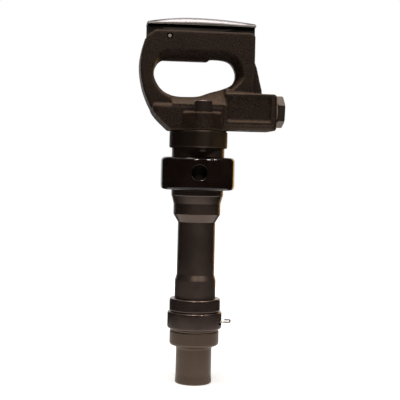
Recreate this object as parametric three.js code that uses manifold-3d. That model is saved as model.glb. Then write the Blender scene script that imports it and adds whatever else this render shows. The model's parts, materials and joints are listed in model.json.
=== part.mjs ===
// A pneumatic hammer of the rivet-buster kind, standing on its nose, as one group of named pieces.
// Lengths are millimetres. The pieces are laid out about the barrel's axis, which runs along Z, with the
// nose on z = 0, the front of the D handle facing -Y and the air inlet pointing along +X. At the end the
// group is moved along X, so that its origin is the middle of the ground that the whole hammer covers.

import * as THREE from 'three';
import { mergeVertices } from 'three/addons/utils/BufferGeometryUtils.js';
import Module from 'manifold-3d';

const wasm = await Module();
wasm.setup();

// Fits, shared by all pieces
const seatGap = 0.3;
const turnGap = 0.4;
const overrun = 3;
const edgeSteps = 3;
const turnFacets = 36;
const rodFacets = 20;
const smallFacets = 10;
const hexSides = 6;

// Chisel bushing, and the wall of the cylinder's foot round it
const shankBore = 10.2;
const bushingMouth = 2.5;
const bushingWall = 9.8;
const bushingHeight = 56.1;
const footWall = 7.5;

// Retainer sleeve: the long tail that the hammer stands on, its band, and the skirt round the barrel
const tailWall = 8.3;
const tailHeight = 47;
const tailFoot = 2;
const tailFlare = 0.7;
const tailFlareHeight = 12;
const bandFillet = 5;
const bandFlat = 1.3;
const bandEdge = 3;
const bandStep = 2;
const bandHeight = 20.2;
const bandChamfer = 1.5;
const bufferInset = 0.8;
const bufferWall = 4.9;
const bufferFloor = 13;
const bufferHeight = 10.7;
const skirtWall = 3.4;
const skirtHeight = 26.5;
const collarRest = 1.4;
const collarRestHeight = 2.3;

// Retainer collar and lock ring, the two rings above the band
const collarWall = 5.2;
const collarEdge = 1.8;
const lockRingWall = 6.55;
const lockRingHeight = 17.6;
const lockRingEdge = 2;

// Lock wire, in the groove between the barrel and the skirt, with its end bent outside the slot
const wireRadius = 1.2;
const wireGrip = 0.2;
const wireRise = 7.6;
const wireArc = 285;
const wireLead = 12;
const wireSlotTurn = -23;
const wireSlotWidth = 15;
const wireSlotHeight = 6.3;
const wireReach = 12.6;
const wireBend = 1.9;
const wireReturn = 6;
const wireSteps = 48;
const wireBendSteps = 4;
const wireSides = 6;

// Cylinder: foot, barrel, cones, bands and neck
const footOver = 12.8;
const footChamfer = 7.5;
const pistonBore = 15.4;
const barrelWall = 10.2;
const barrelHeight = 78.7;
const coneHeight = 10.8;
const waistStep = 6.5;
const waistHeight = 14.3;
const taperHeight = 10.9;
const upperBandStep = 2;
const upperBandLip = 0.5;
const upperBandHeight = 7.2;
const exhaustSeatStep = 3;
const exhaustSeatHeight = 45;
const neckStep = 2;
const neckHeight = 11.7;
const spigotWall = 10.8;
const spigotReach = 6;
const exhaustPortRadius = 4.5;
const exhaustPortCount = 4;
const returnPassageRadius = 2;
const returnPortHeight = 12;

// Piston
const pistonClearance = 0.35;
const pistonHeight = 70;
const pistonEdge = 2;
const pistonWaist = 1.2;

// Exhaust deflector
const deflectorDepth = 17.1;
const deflectorWall = 7.5;
const deflectorEdge = 5;
const deflectorChamberHeight = 24;
const deflectorHole = 10.3;
const deflectorHoleRise = 1.5;
const deflectorHoleTurn = -4.3;

// Lock ring under the handle, its two lobes and the bolts through them
const flangeWall = 5.4;
const flangeHeight = 23.1;
const flangeEdge = 2.5;
const lobeWall = 2.1;
const boltGap = 1.1;
const boltRadius = 7.9;
const boltShoulder = 4;
const boltHeadHeight = 15.4;
const boltHeadEdge = 1;
const boltKey = 7.3;
const boltKeyDepth = 8;
const boltTipStep = 2.1;
const boltTipHeight = 4.6;
const boltTipEdge = 1;
const boltPlay = 0.3;
const washerLip = 0.7;
const washerSink = 1.4;
const washerHeight = 2.3;

// Valve gear, between the cylinder and the handle
const caseWall = 5.9;
const caseDepth = 37.7;
const caseFloorHeight = 8;
const casePort = 6;
const valveRadius = 16.6;
const valveBore = 7.5;
const valveHeight = 8;
const valveTravel = 4;
const valveSkirt = 3;
const caseFlangeHeight = 4.4;
const caseTopPort = 5;
const gasketHeight = 1;
const dowelRadius = 2;
const dowelDepth = 6;
const airChamberRadius = 17;
const airChamberHeight = 20.7;

// Handle casting
const handleLeft = 83;
const handleRight = 73;
const handleHeight = 135.2;
const castingEdge = 3;
const handleCorner = 6.8;
const bossDepth = 66;
const bossHeight = 35;
const bossRounding = 5;
const bossInset = 17;
const bossCorner = 10;
const lobeHeight = 24.3;
const leftLeg = 19.1;
const rightLeg = 24.1;
const gripThickness = 19.5;
const openingSill = 11;
const openingRounding = 9;
const openingFlat = 6;
const openingSteps = 6;
const openingCurveSteps = 3;
const gripLip = 3.2;
const gripLipDepth = 22;
const gripLipLength = 63;
const gripLipEdge = 1.5;
const channelWidth = 30.6;
const gripWall = 5.7;
const blockStart = 30;
const blockHeight = 50;
const blockDepth = 68;
const blockEdge = 4;
const blockCorner = 12;
const blockRise = 2;
const panelMargin = 4;
const panelEndMargin = 10;
const panelFootMargin = 11;
const panelDepth = 3.6;
const plateStep = 2.6;
const plateMargin = 1.6;
const plateEndMargin = 5.5;
const plateFootMargin = 6.5;
const plateSink = 6;
const panelRound = 0.3;
const webReach = 12;
const webDrop = 41.2;
const webDepth = 28;
const webSink = 6;
const webEdge = 1.5;
const pinInset = 38.8;
const pinDrop = 8.4;
const pinRadius = 4;
const pinRecess = 1.2;

// Throttle lever
const leverInset = 9.2;
const leverOverhang = .4;
const leverSide = 1;
const leverGap = 7;
const leverCrown = 12.2;
const leverLeftCrown = 5;
const leverRightCrown = 6.6;
const leverSkirtGap = 0.6;
const leverSkirtWall = 3.6;
const leverSkirtFoot = 5.6;
const leverSkirtMargin = 3;
const leverSkirtSink = 1;
const leverEarWall = 3.5;
const leverEarGap = 1.4;
const leverSections = 14;
const leverArcPoints = 9;
const leverDomePower = 0.8;

// Throttle: push pin, seal, valve, seat, spring and plug, all on one upright axis
const throttleInset = 11;
const pushPinRadius = 4;
const pushPinEdge = 1;
const sealHeight = 3;
const sealWidth = 2;
const sealDrop = 7;
const seatBore = 6.5;
const seatWall = 4.5;
const seatHeight = 5.7;
const seatLedge = 2;
const outletHeight = 14.5;
const poppetLap = 3;
const poppetRoom = 3.8;
const poppetHeight = 9.7;
const poppetCone = 3;
const stemRadius = 4;
const stemHeight = 10.8;
const guideStemRadius = 4.4;
const guideStemRoom = 4.4;
const plugLip = 1.7;
const plugHeadHeight = 3.4;
const plugRecess = 0.6;
const plugHeight = 8;
const plugTowerWall = 2.2;
const plugTowerHeight = 5;
const plugKey = 5;
const plugKeyDepth = 4.5;
const plugFloor = 2;
const springRoom = 0.95;
const springSpace = 11.9;
const springWire = 0.75;
const springTurns = 3.5;
const springTurnSteps = 12;
const springSides = 6;
const passageRadius = 5;
const passageFoot = 10;

// Air inlet: hexagon bushing, gasket and strainer
const inletRise = 27.3;
const inletLand = 7.3;
const inletThroat = 9.5;
const inletWall = 7;
const inletPassage = 8;
const inletThread = 19.7;
const hexShoulder = 2.5;
const hexHeight = 9.9;
const hexTurn = 8;
const hexChamfer = 1.4;
const inletGasketWidth = 2.6;
const inletGasketHeight = 1.5;
const screenHeight = 1.2;
const screenRings = 2;

// Outlines, as shares of the sizes that they follow. The left side of the handle runs from its foot to
// the chamfer at the grip; the hand opening runs round from its left end, over the top.
const leftSideShares = [
  [0.74, 0.148], [0.885, 0.307], [0.969, 0.473], [1, 0.643], [0.968, 0.8], [0.905, 0.935],
];
const handleFootLeftShare = 0.494;
const handleFootRightShare = 0.52;
const chamferShare = 0.762;
const openingShares = [
  [0, 0.6], [0.05, 0.86], [0.15, 0.985], [0.32, 1], [0.6, 1], [0.82, 0.995], [0.92, 0.935], [0.975, 0.79],
  [1, 0.57], [0.965, 0.37], [0.84, 0.23], [0.68, 0.125], [0.55, 0.025], [0.4, 0], [0.24, 0.02], [0.12, 0.13],
  [0.04, 0.33],
];
const panelSlopeShare = 0.8;
const pistonLandShare = 0.2;
const leverPeakShare = 0.445;
const screenHoleShare = 0.405;
const webShares = [[1, 0], [0.93, 0.2], [0.64, 0.5], [0.32, 0.86], [0.11, 1]];

// Radii and places on the barrel, worked out from the inside out
const tau = 2 * Math.PI;
const radians = Math.PI / 180;
const bushingRadius = shankBore + bushingWall;
const footRadius = bushingRadius + seatGap + footWall;
const skirtBore = footRadius + turnGap;
const skirtRadius = skirtBore + skirtWall;
const bandRadius = skirtRadius + bandStep;
const tailRadius = bandRadius - bandEdge - bandFlat - bandFillet;
const tailBore = tailRadius - tailWall;
const bufferBore = tailBore + bufferInset;
const bufferRadius = bufferBore + bufferWall;
const collarBore = skirtRadius + seatGap;
const collarRadius = collarBore + collarWall;
const lockRingRadius = footRadius + seatGap + lockRingWall;
const wireCentre = footRadius + wireGrip;
const grooveHalf = wireRadius + turnGap;
const barrelRadius = pistonBore + barrelWall;
const waistRadius = barrelRadius + waistStep;
const caseBore = valveRadius + turnGap + caseWall + seatGap;
const spigotRadius = caseBore + spigotWall;
const dowelPlace = (caseBore + spigotRadius) / 2;
const neckRadius = spigotRadius + neckStep;
const exhaustSeatRadius = neckRadius - exhaustSeatStep;
const taperRadius = exhaustSeatRadius + upperBandStep;
const deflectorBore = exhaustSeatRadius + turnGap;
const deflectorRadius = deflectorBore + deflectorDepth;
const deflectorChamber = deflectorRadius - deflectorWall;
const flangeRadius = spigotRadius + seatGap + flangeWall;
const boltHeadRadius = boltRadius + boltShoulder;
const boltTipRadius = boltRadius - boltTipStep;
const washerRadius = boltHeadRadius + washerLip;
const lobeRadius = washerRadius + seatGap + lobeWall;
const lobePlace = neckRadius + boltGap + boltRadius;

// Widths and places on the handle
const gripDepth = channelWidth + 2 * gripWall;
const openingLeft = handleLeft - leftLeg;
const openingWidth = openingLeft + handleRight - rightLeg;
const pinPlace = handleLeft - pinInset;
const leverLeft = handleLeft - leverInset;
const leverRight = handleRight + leverOverhang;
const leverHalfWidth = gripDepth / 2 - leverSide;
const leverSkirtWidth = channelWidth - 2 * leverSkirtGap;
const leverEar = pinRadius + turnGap + leverEarWall;
const throttlePlace = handleRight - throttleInset;
const seatRadius = seatBore + seatWall;
const outletRadius = seatRadius - seatLedge;
const poppetRadius = seatBore + poppetLap;
const throttleChamberRadius = poppetRadius + poppetRoom;
const plugHeadRadius = throttleChamberRadius + plugLip;
const plugTower = guideStemRadius + turnGap + plugTowerWall;
const springRadius = plugTower + springRoom + springWire;
const inletBore = inletThroat + inletWall;
const hexFlats = 2 * (inletBore + hexShoulder);
const inletShoulder = throttlePlace + plugHeadRadius + seatGap + inletLand;
const screenPlace = inletShoulder + seatGap;
const hexStart = screenPlace + screenHeight + seatGap + inletThread;
const hexEnd = hexStart + hexHeight;
const gasketPlace = hexStart - seatGap - inletGasketHeight;
const blockEnd = gasketPlace - seatGap;
const screenPitch = inletThroat / (screenRings + screenHoleShare);

// Heights, worked out from the nose up
const bandFoot = tailHeight + bandFillet;
const bandTop = bandFoot + bandHeight;
const bufferBottom = tailHeight + bufferFloor;
const footSeat = bufferBottom + seatGap + bufferHeight;
const barrelFoot = footSeat + seatGap;
const skirtTop = footSeat + skirtHeight;
const collarBottom = bandTop + collarRestHeight + seatGap;
const collarTop = skirtTop + seatGap;
const lockRingBottom = collarTop + seatGap;
const lockRingTop = lockRingBottom + lockRingHeight;
const wireHeight = collarBottom + wireRise;
const bushingFoot = barrelFoot + seatGap;
const bushingTop = bushingFoot + bushingHeight;
const boreFoot = bushingTop + seatGap;
const pistonFoot = bushingTop + pistonClearance;
const footEnd = boreFoot + footOver;
const coneStart = footEnd + barrelHeight;
const coneTop = coneStart + coneHeight;
const waistTop = coneTop + waistHeight;
const taperTop = waistTop + taperHeight;
const upperBandTop = taperTop + upperBandLip + upperBandHeight;
const exhaustSeatTop = upperBandTop + exhaustSeatHeight;
const neckTop = exhaustSeatTop + neckHeight;
const deflectorFoot = upperBandTop + seatGap;
const deflectorTop = exhaustSeatTop - seatGap;
const exhaustHeight = (deflectorFoot + deflectorTop) / 2;
const flangeBottom = neckTop + seatGap;
const flangeTop = flangeBottom + flangeHeight;
const handleBottom = flangeTop + seatGap;
const handleTop = handleBottom + handleHeight;
const spigotTop = handleBottom + spigotReach;
const caseFloor = spigotTop - caseDepth;
const gasketBottom = spigotTop + seatGap;
const caseFlangeBottom = gasketBottom + gasketHeight + seatGap;
const caseFlangeTop = caseFlangeBottom + caseFlangeHeight;
const caseFloorTop = caseFloor + seatGap + caseFloorHeight;
const valveFoot = caseFloorTop + seatGap;
const valveChamberTop = valveFoot + valveHeight + valveTravel + seatGap;
const socketTop = caseFlangeTop + seatGap;
const airChamberTop = socketTop + airChamberHeight;
const lobeTop = handleBottom + lobeHeight;
const bossTop = handleBottom + bossHeight;
const washerBottom = lobeTop - washerSink - washerHeight + seatGap;
const boltSeat = washerBottom + washerHeight + seatGap;
const leverPin = handleTop - pinDrop;
const channelFloor = leverPin - leverEar - leverEarGap;
const openingBottom = bossTop + openingSill;
const openingTop = channelFloor - gripThickness;
const openingHeight = openingTop - openingBottom;
const leverBottom = handleTop + leverGap;
const skirtFoot = channelFloor + leverSkirtFoot;
const blockBottom = handleBottom + blockRise;
const blockTop = blockBottom + blockHeight;
const webFoot = blockTop - blockEdge;
const webTop = handleTop - webDrop;
const plugBottom = blockBottom + plugRecess;
const plugHeadTop = plugBottom + plugHeadHeight;
const plugShoulder = plugHeadTop + gasketHeight + 2 * seatGap;
const plugTop = plugShoulder + plugHeight;
const guideFoot = plugBottom + plugKeyDepth + plugFloor;
const poppetBottom = plugTop + springSpace;
const poppetTop = poppetBottom + poppetHeight;
const throttleChamberTop = poppetTop + seatGap;
const seatTop = throttleChamberTop + seatHeight;
const outletTop = seatTop + outletHeight;
const stemTop = poppetTop + stemHeight;
const pushPinBottom = stemTop + seatGap;
const pushPinTop = leverBottom - seatGap;
const inletHeight = blockBottom + inletRise;

// Finishes
function finish(color, roughness, metalness) {
  return new THREE.MeshStandardMaterial({ color, roughness, metalness });
}

const blackCasting = () => finish(0x1f1a17, 0.75, 0.35);
const blackedSteel = () => finish(0x241f1c, 0.42, 0.8);
const brownedSteel = () => finish(0x4a3d34, 0.45, 0.8);
const brightSteel = () => finish(0xa9a4a0, 0.3, 0.95);
const hardSteel = () => finish(0x77726e, 0.35, 0.95);
const blackRubber = () => finish(0x120f0f, 0.3, 0);
const sealRubber = () => finish(0x1a1a1a, 0.6, 0);
const brass = () => finish(0xb08d4a, 0.4, 0.9);
const gasketFibre = () => finish(0x54483c, 0.9, 0);

// A closed geometry as a solid that can be joined and cut, and back again
function solid(geometry) {
  const bare = new THREE.BufferGeometry();
  bare.setAttribute('position', geometry.getAttribute('position'));
  bare.setIndex(geometry.getIndex());
  const merged = mergeVertices(bare);
  const corners = Array.from(merged.getIndex().array);
  const triangles = [];
  for (let i = 0; i < corners.length; i += 3) {
    const [a, b, c] = corners.slice(i, i + 3);
    if (a !== b && b !== c && c !== a) triangles.push(a, b, c);
  }
  return new wasm.Manifold(new wasm.Mesh({
    numProp: 3,
    vertProperties: Float32Array.from(merged.getAttribute('position').array),
    triVerts: Uint32Array.from(triangles),
  }));
}

function geometryOf(manifold) {
  const { vertProperties, triVerts } = manifold.getMesh();
  const geometry = new THREE.BufferGeometry();
  geometry.setAttribute('position', new THREE.BufferAttribute(vertProperties, 3));
  geometry.setIndex(new THREE.BufferAttribute(triVerts, 1));
  geometry.computeVertexNormals();
  return geometry;
}

// An upright rod, or a ring if it has a bore, between two heights
function rod(radius, low, high, facets = rodFacets) {
  const geometry = new THREE.CylinderGeometry(radius, radius, high - low, facets);
  return geometry.rotateX(Math.PI / 2).translate(0, 0, (low + high) / 2);
}

// A turned piece from its half section, as [radius, height] pairs with the outside running upwards
function turned(section, facets = turnFacets) {
  const points = section.map(([radius, height]) => new THREE.Vector2(radius, height));
  return new THREE.LatheGeometry(points, facets).rotateX(Math.PI / 2);
}

function ring(outer, inner, low, high, edge = 0, facets = turnFacets) {
  const outside = [[outer, low], [outer, high]];
  if (edge > 0) outside.splice(0, 2, ...rounded(outer, low, edge, -1), ...rounded(outer, high, edge, 1));
  return turned([[inner, low], ...outside, [inner, high], [inner, low]], facets);
}

// The points of a rounded edge of a turned piece, at its top (side 1) or its foot (side -1)
function rounded(radius, height, edge, side) {
  const points = [];
  for (let step = 0; step <= edgeSteps; step += 1) {
    const turn = (step / edgeSteps) * (Math.PI / 2);
    const angle = side > 0 ? turn : Math.PI / 2 - turn;
    points.push([radius - edge * (1 - Math.cos(angle)), height - side * edge * (1 - Math.sin(angle))]);
  }
  return points;
}

// The points of a hollow fillet of a turned piece, from its upright side out to the flat above
function hollowed(radius, height, size) {
  const points = [];
  for (let step = 1; step <= edgeSteps; step += 1) {
    const angle = (step / edgeSteps) * (Math.PI / 2);
    points.push([radius - size * Math.cos(angle), height + size * Math.sin(angle)]);
  }
  return points;
}

// An outline in X and Z given a thickness along Y, centred on the barrel's axis, with rounded edges
function slab(shape, thickness, edge = 0, edgeDepth = edge, steps = edgeSteps) {
  const geometry = new THREE.ExtrudeGeometry(shape, {
    depth: thickness - 2 * edgeDepth,
    steps: 1,
    curveSegments: edgeSteps,
    bevelEnabled: edge > 0,
    bevelThickness: edgeDepth,
    bevelSize: edge,
    bevelOffset: -edge,
    bevelSegments: steps,
  });
  return geometry.translate(0, 0, edgeDepth - thickness / 2).rotateX(Math.PI / 2);
}

// An outline in X and Y raised between two heights, with rounded edges
function raised(shape, low, high, edge = 0) {
  const geometry = new THREE.ExtrudeGeometry(shape, {
    depth: high - low - 2 * edge,
    steps: 1,
    curveSegments: edgeSteps * 2,
    bevelEnabled: edge > 0,
    bevelThickness: edge,
    bevelSize: edge,
    bevelOffset: -edge,
    bevelSegments: edgeSteps,
  });
  return geometry.translate(0, 0, low + edge);
}

function box(lowX, highX, lowY, highY, lowZ, highZ) {
  const geometry = new THREE.BoxGeometry(highX - lowX, highY - lowY, highZ - lowZ);
  return geometry.translate((lowX + highX) / 2, (lowY + highY) / 2, (lowZ + highZ) / 2);
}

// A straight drilling between two places
function drilling(radius, from, to, facets = rodFacets) {
  const start = new THREE.Vector3(...from);
  const run = new THREE.Vector3(...to).sub(start);
  const geometry = new THREE.CylinderGeometry(radius, radius, run.length(), facets);
  geometry.translate(0, run.length() / 2, 0);
  const lean = new THREE.Quaternion().setFromUnitVectors(new THREE.Vector3(0, 1, 0), run.normalize());
  geometry.applyQuaternion(lean);
  return geometry.translate(start.x, start.y, start.z);
}

function polygon(radius, sides, turn = 0) {
  const shape = new THREE.Shape();
  for (let side = 0; side < sides; side += 1) {
    const angle = turn + (side / sides) * tau;
    const place = [radius * Math.cos(angle), radius * Math.sin(angle)];
    if (side === 0) shape.moveTo(...place);
    else shape.lineTo(...place);
  }
  return shape;
}

// A closed skin over a row of sections that have the same number of points, each going round alike
function loft(sections) {
  const count = sections[0].length;
  const positions = sections.flat().flatMap((point) => [point.x, point.y, point.z]);
  const triangles = [];
  for (let row = 0; row < sections.length - 1; row += 1) {
    for (let side = 0; side < count; side += 1) {
      const a = row * count + side;
      const b = row * count + ((side + 1) % count);
      triangles.push(a, b, b + count, a, b + count, a + count);
    }
  }
  const last = (sections.length - 1) * count;
  for (let side = 1; side < count - 1; side += 1) {
    triangles.push(0, side + 1, side, last, last + side, last + side + 1);
  }
  const geometry = new THREE.BufferGeometry();
  geometry.setAttribute('position', new THREE.Float32BufferAttribute(positions, 3));
  geometry.setIndex(triangles);
  geometry.computeVertexNormals();
  return geometry;
}

// A round bar along a row of points, twisted as little as can be from each point to the next
function bar(points, radius, sides) {
  const side = new THREE.Vector3(0, 0, 1);
  const sections = points.map((point, i) => {
    const before = points[Math.max(i - 1, 0)];
    const after = points[Math.min(i + 1, points.length - 1)];
    const along = new THREE.Vector3().subVectors(after, before).normalize();
    side.addScaledVector(along, -side.dot(along)).normalize();
    const across = new THREE.Vector3().crossVectors(along, side);
    return polygon(radius, sides).getPoints().map(({ x, y }) => (
      point.clone().addScaledVector(side, x).addScaledVector(across, y)
    ));
  });
  return loft(sections);
}

// The two-lobed outline that the lock ring shares with the foot of the handle
function flangeOutline() {
  const lean = Math.asin((flangeRadius - lobeRadius) / lobePlace);
  const shape = new THREE.Shape();
  shape.absarc(0, 0, flangeRadius, -lean, lean, false);
  shape.absarc(0, lobePlace, lobeRadius, lean, Math.PI - lean, false);
  shape.absarc(0, 0, flangeRadius, Math.PI - lean, Math.PI + lean, false);
  shape.absarc(0, -lobePlace, lobeRadius, Math.PI + lean, tau - lean, false);
  return shape;
}

// Retainer: sleeve, buffer, collar, lock ring and lock wire
function wireSlot() {
  const half = wireSlotWidth / 2;
  const low = wireHeight - wireSlotHeight / 2;
  const high = wireHeight + wireSlotHeight / 2;
  const cut = box(skirtBore - overrun, collarRadius + overrun, -half, half, low, high);
  return solid(cut.rotateZ(wireSlotTurn * radians));
}

function retainerSleeve() {
  const foot = rounded(tailRadius + tailFlare, 0, tailFoot, -1);
  const section = [
    [tailBore, 0],
    ...foot,
    [tailRadius, tailFlareHeight],
    [tailRadius, tailHeight],
    ...hollowed(tailRadius + bandFillet, tailHeight, bandFillet),
    ...rounded(bandRadius, bandFoot, bandEdge, -1),
    [bandRadius, bandTop - bandChamfer],
    [bandRadius - bandChamfer, bandTop],
    [skirtRadius + collarRest, bandTop],
    [skirtRadius + collarRest, bandTop + collarRestHeight],
    [skirtRadius, bandTop + collarRestHeight],
    [skirtRadius, skirtTop],
    [skirtBore, skirtTop],
    [skirtBore, wireHeight + grooveHalf],
    [wireCentre + grooveHalf, wireHeight + grooveHalf],
    [wireCentre + grooveHalf, wireHeight - grooveHalf],
    [skirtBore, wireHeight - grooveHalf],
    [skirtBore, footSeat],
    [bufferRadius + seatGap, footSeat],
    [bufferRadius + seatGap, bufferBottom],
    [tailBore, bufferBottom],
    [tailBore, 0],
  ];
  return geometryOf(solid(turned(section)).subtract(wireSlot()));
}

function retainerBuffer() {
  return ring(bufferRadius, bufferBore, bufferBottom + seatGap, footSeat, 0, rodFacets);
}

function retainerCollar() {
  const body = solid(ring(collarRadius, collarBore, collarBottom, collarTop, collarEdge));
  return geometryOf(body.subtract(wireSlot()));
}

function retainerLockRing() {
  return ring(lockRingRadius, footRadius + seatGap, lockRingBottom, lockRingTop, lockRingEdge);
}

// The wire lies round the groove, bends out through the slot, and ends outside in a finger loop
function lockWire() {
  const turn = wireSlotTurn * radians;
  const lead = wireLead * radians;
  const outward = new THREE.Vector3(1, 0, 0);
  const upward = new THREE.Vector3(0, 0, 1);
  const around = (radius, angle, drop = 0) => (
    new THREE.Vector3(radius * Math.cos(angle), radius * Math.sin(angle), wireHeight - drop)
  );
  const points = [];
  for (let step = 0; step <= wireSteps; step += 1) {
    points.push(around(wireCentre, turn - lead - wireArc * radians * (1 - step / wireSteps)));
  }
  const leave = around(collarRadius, turn, wireBend / 2);
  const corner = around(wireCentre / Math.cos(lead), turn);
  const bend = new THREE.QuadraticBezierCurve3(points[wireSteps], corner, leave);
  points.push(...bend.getPoints(wireBendSteps).slice(1));
  const end = around(collarRadius, turn).addScaledVector(outward, wireReach);
  for (let step = 0; step <= wireBendSteps; step += 1) {
    const angle = (step / wireBendSteps - 0.5) * Math.PI;
    const place = end.clone().addScaledVector(outward, wireBend * Math.cos(angle));
    points.push(place.addScaledVector(upward, wireBend * Math.sin(angle)));
  }
  points.push(end.clone().addScaledVector(outward, -wireReturn).addScaledVector(upward, wireBend));
  return bar(points, wireRadius, wireSides);
}

// Cylinder and what runs in it
function cylinder() {
  const section = [
    [bushingRadius + seatGap, barrelFoot],
    [footRadius - bandChamfer, barrelFoot],
    [footRadius, barrelFoot + bandChamfer],
    [footRadius, wireHeight - grooveHalf],
    [wireCentre - grooveHalf, wireHeight - grooveHalf],
    [wireCentre - grooveHalf, wireHeight + grooveHalf],
    [footRadius, wireHeight + grooveHalf],
    [footRadius, footEnd],
    [barrelRadius, footEnd + footChamfer],
    [barrelRadius, coneStart],
    [waistRadius, coneTop],
    [waistRadius, waistTop],
    [taperRadius, taperTop],
    [taperRadius + upperBandLip, taperTop + upperBandLip],
    [taperRadius + upperBandLip, upperBandTop],
    [exhaustSeatRadius, upperBandTop],
    [exhaustSeatRadius, exhaustSeatTop],
    [neckRadius, exhaustSeatTop],
    [neckRadius, neckTop],
    [spigotRadius, neckTop],
    [spigotRadius, spigotTop],
    [caseBore, spigotTop],
    [caseBore, caseFloor],
    [pistonBore, caseFloor],
    [pistonBore, boreFoot],
    [bushingRadius + seatGap, boreFoot],
    [bushingRadius + seatGap, barrelFoot],
  ];
  let body = solid(turned(section));
  for (let port = 0; port < exhaustPortCount; port += 1) {
    const angle = ((port + 0.5) / exhaustPortCount) * tau;
    const outer = exhaustSeatRadius + overrun;
    const from = [0, 0, exhaustHeight];
    const to = [outer * Math.cos(angle), outer * Math.sin(angle), exhaustHeight];
    body = body.subtract(solid(drilling(exhaustPortRadius, from, to, smallFacets)));
  }
  const foot = [0, (pistonBore + barrelRadius) / 2, boreFoot + returnPortHeight];
  const head = [foot[0], foot[1], caseFloor + overrun];
  const down = drilling(returnPassageRadius, foot, head, smallFacets);
  const across = drilling(returnPassageRadius, [0, 0, foot[2]], foot, smallFacets);
  const dowel = dowelHole(spigotTop - dowelDepth - seatGap, spigotTop + overrun);
  body = body.subtract(solid(down)).subtract(solid(across)).subtract(solid(dowel));
  return geometryOf(body);
}

function piston() {
  const top = pistonFoot + pistonHeight;
  const radius = pistonBore - turnGap;
  const land = pistonHeight * pistonLandShare;
  return turned([
    [0, pistonFoot],
    ...rounded(radius, pistonFoot, pistonEdge, -1),
    [radius, pistonFoot + land],
    [radius - pistonWaist, pistonFoot + land + pistonWaist],
    [radius - pistonWaist, top - land - pistonWaist],
    [radius, top - land],
    ...rounded(radius, top, pistonEdge, 1),
    [0, top],
  ], rodFacets);
}

function chiselBushing() {
  return turned([
    [shankBore + bushingMouth, bushingFoot],
    [bushingRadius, bushingFoot],
    [bushingRadius, bushingTop],
    [shankBore, bushingTop],
    [shankBore, bushingFoot + bushingMouth],
    [shankBore + bushingMouth, bushingFoot],
  ], rodFacets);
}

// Valve gear
function valveCaseLower() {
  return ring(caseBore - seatGap, casePort, caseFloor + seatGap, caseFloorTop, 0, rodFacets);
}

function distributionValve() {
  const top = valveFoot + valveHeight;
  return turned([
    [valveBore, valveFoot],
    [valveRadius - valveSkirt, valveFoot],
    [valveRadius - valveSkirt, valveFoot + valveSkirt],
    [valveRadius, valveFoot + valveSkirt],
    [valveRadius, top],
    [valveBore, top],
    [valveBore, valveFoot],
  ], rodFacets);
}

function valveCaseUpper() {
  const body = solid(turned([
    [valveRadius + turnGap, valveFoot],
    [caseBore - seatGap, valveFoot],
    [caseBore - seatGap, caseFlangeBottom],
    [spigotRadius, caseFlangeBottom],
    [spigotRadius, caseFlangeTop],
    [caseTopPort, caseFlangeTop],
    [caseTopPort, valveChamberTop],
    [valveRadius + turnGap, valveChamberTop],
    [valveRadius + turnGap, valveFoot],
  ], rodFacets));
  return geometryOf(body.subtract(solid(dowelHole(caseFlangeBottom - overrun, caseFlangeTop + overrun))));
}

function dowelHole(low, high) {
  return rod(dowelRadius + seatGap, low, high, smallFacets).translate(dowelPlace, 0, 0);
}

function valveCaseGasket() {
  const body = solid(ring(spigotRadius, caseBore, gasketBottom, gasketBottom + gasketHeight, 0, rodFacets));
  return geometryOf(body.subtract(solid(dowelHole(gasketBottom - overrun, gasketBottom + overrun))));
}

function valveDowel() {
  const pin = rod(dowelRadius, spigotTop - dowelDepth, caseFlangeTop - seatGap, smallFacets);
  return pin.translate(dowelPlace, 0, 0);
}

// Exhaust deflector: a rubber ring over the ports, with a chamber inside and one hole to let the air out
function exhaustDeflector() {
  const chamberLow = exhaustHeight - deflectorChamberHeight / 2;
  const chamberHigh = exhaustHeight + deflectorChamberHeight / 2;
  const body = solid(turned([
    [deflectorBore, deflectorFoot],
    ...rounded(deflectorRadius, deflectorFoot, deflectorEdge, -1),
    ...rounded(deflectorRadius, deflectorTop, deflectorEdge, 1),
    [deflectorBore, deflectorTop],
    [deflectorBore, chamberHigh],
    [deflectorChamber, chamberHigh],
    [deflectorChamber, chamberLow],
    [deflectorBore, chamberLow],
    [deflectorBore, deflectorFoot],
  ]));
  const height = exhaustHeight + deflectorHoleRise;
  const from = [0, overrun - deflectorChamber, height];
  const to = [0, -overrun - deflectorRadius, height];
  const hole = drilling(deflectorHole, from, to);
  return geometryOf(body.subtract(solid(hole.rotateZ(deflectorHoleTurn * radians))));
}

// Lock ring under the handle, and the bolts that draw it up
function lockRing() {
  const bore = rod(spigotRadius + seatGap, flangeBottom - overrun, flangeTop + overrun, turnFacets);
  let body = solid(raised(flangeOutline(), flangeBottom, flangeTop, flangeEdge)).subtract(solid(bore));
  for (const side of [-1, 1]) {
    const hole = rod(boltRadius + boltPlay, flangeBottom - overrun, flangeTop + overrun);
    body = body.subtract(solid(hole.translate(0, side * lobePlace, 0)));
  }
  return geometryOf(body);
}

function handleBolt(side) {
  const head = boltSeat + boltHeadHeight;
  const tipTop = flangeBottom - seatGap;
  const body = solid(turned([
    [0, tipTop - boltTipHeight],
    [boltTipRadius - boltTipEdge, tipTop - boltTipHeight],
    [boltTipRadius, tipTop - boltTipHeight + boltTipEdge],
    [boltTipRadius, tipTop],
    [boltRadius, tipTop + (boltRadius - boltTipRadius)],
    [boltRadius, boltSeat],
    [boltHeadRadius, boltSeat],
    [boltHeadRadius, head - boltHeadEdge],
    [boltHeadRadius - boltHeadEdge, head],
    [0, head],
  ], rodFacets));
  const key = raised(polygon(boltKey, hexSides), head - boltKeyDepth, head + overrun);
  return geometryOf(body.subtract(solid(key)).translate([0, side * lobePlace, 0]));
}

function lockWasher(side) {
  const top = washerBottom + washerHeight - seatGap;
  const washer = ring(washerRadius, boltRadius + boltPlay, washerBottom, top, 0, rodFacets);
  return washer.translate(0, side * lobePlace, 0);
}

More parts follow.
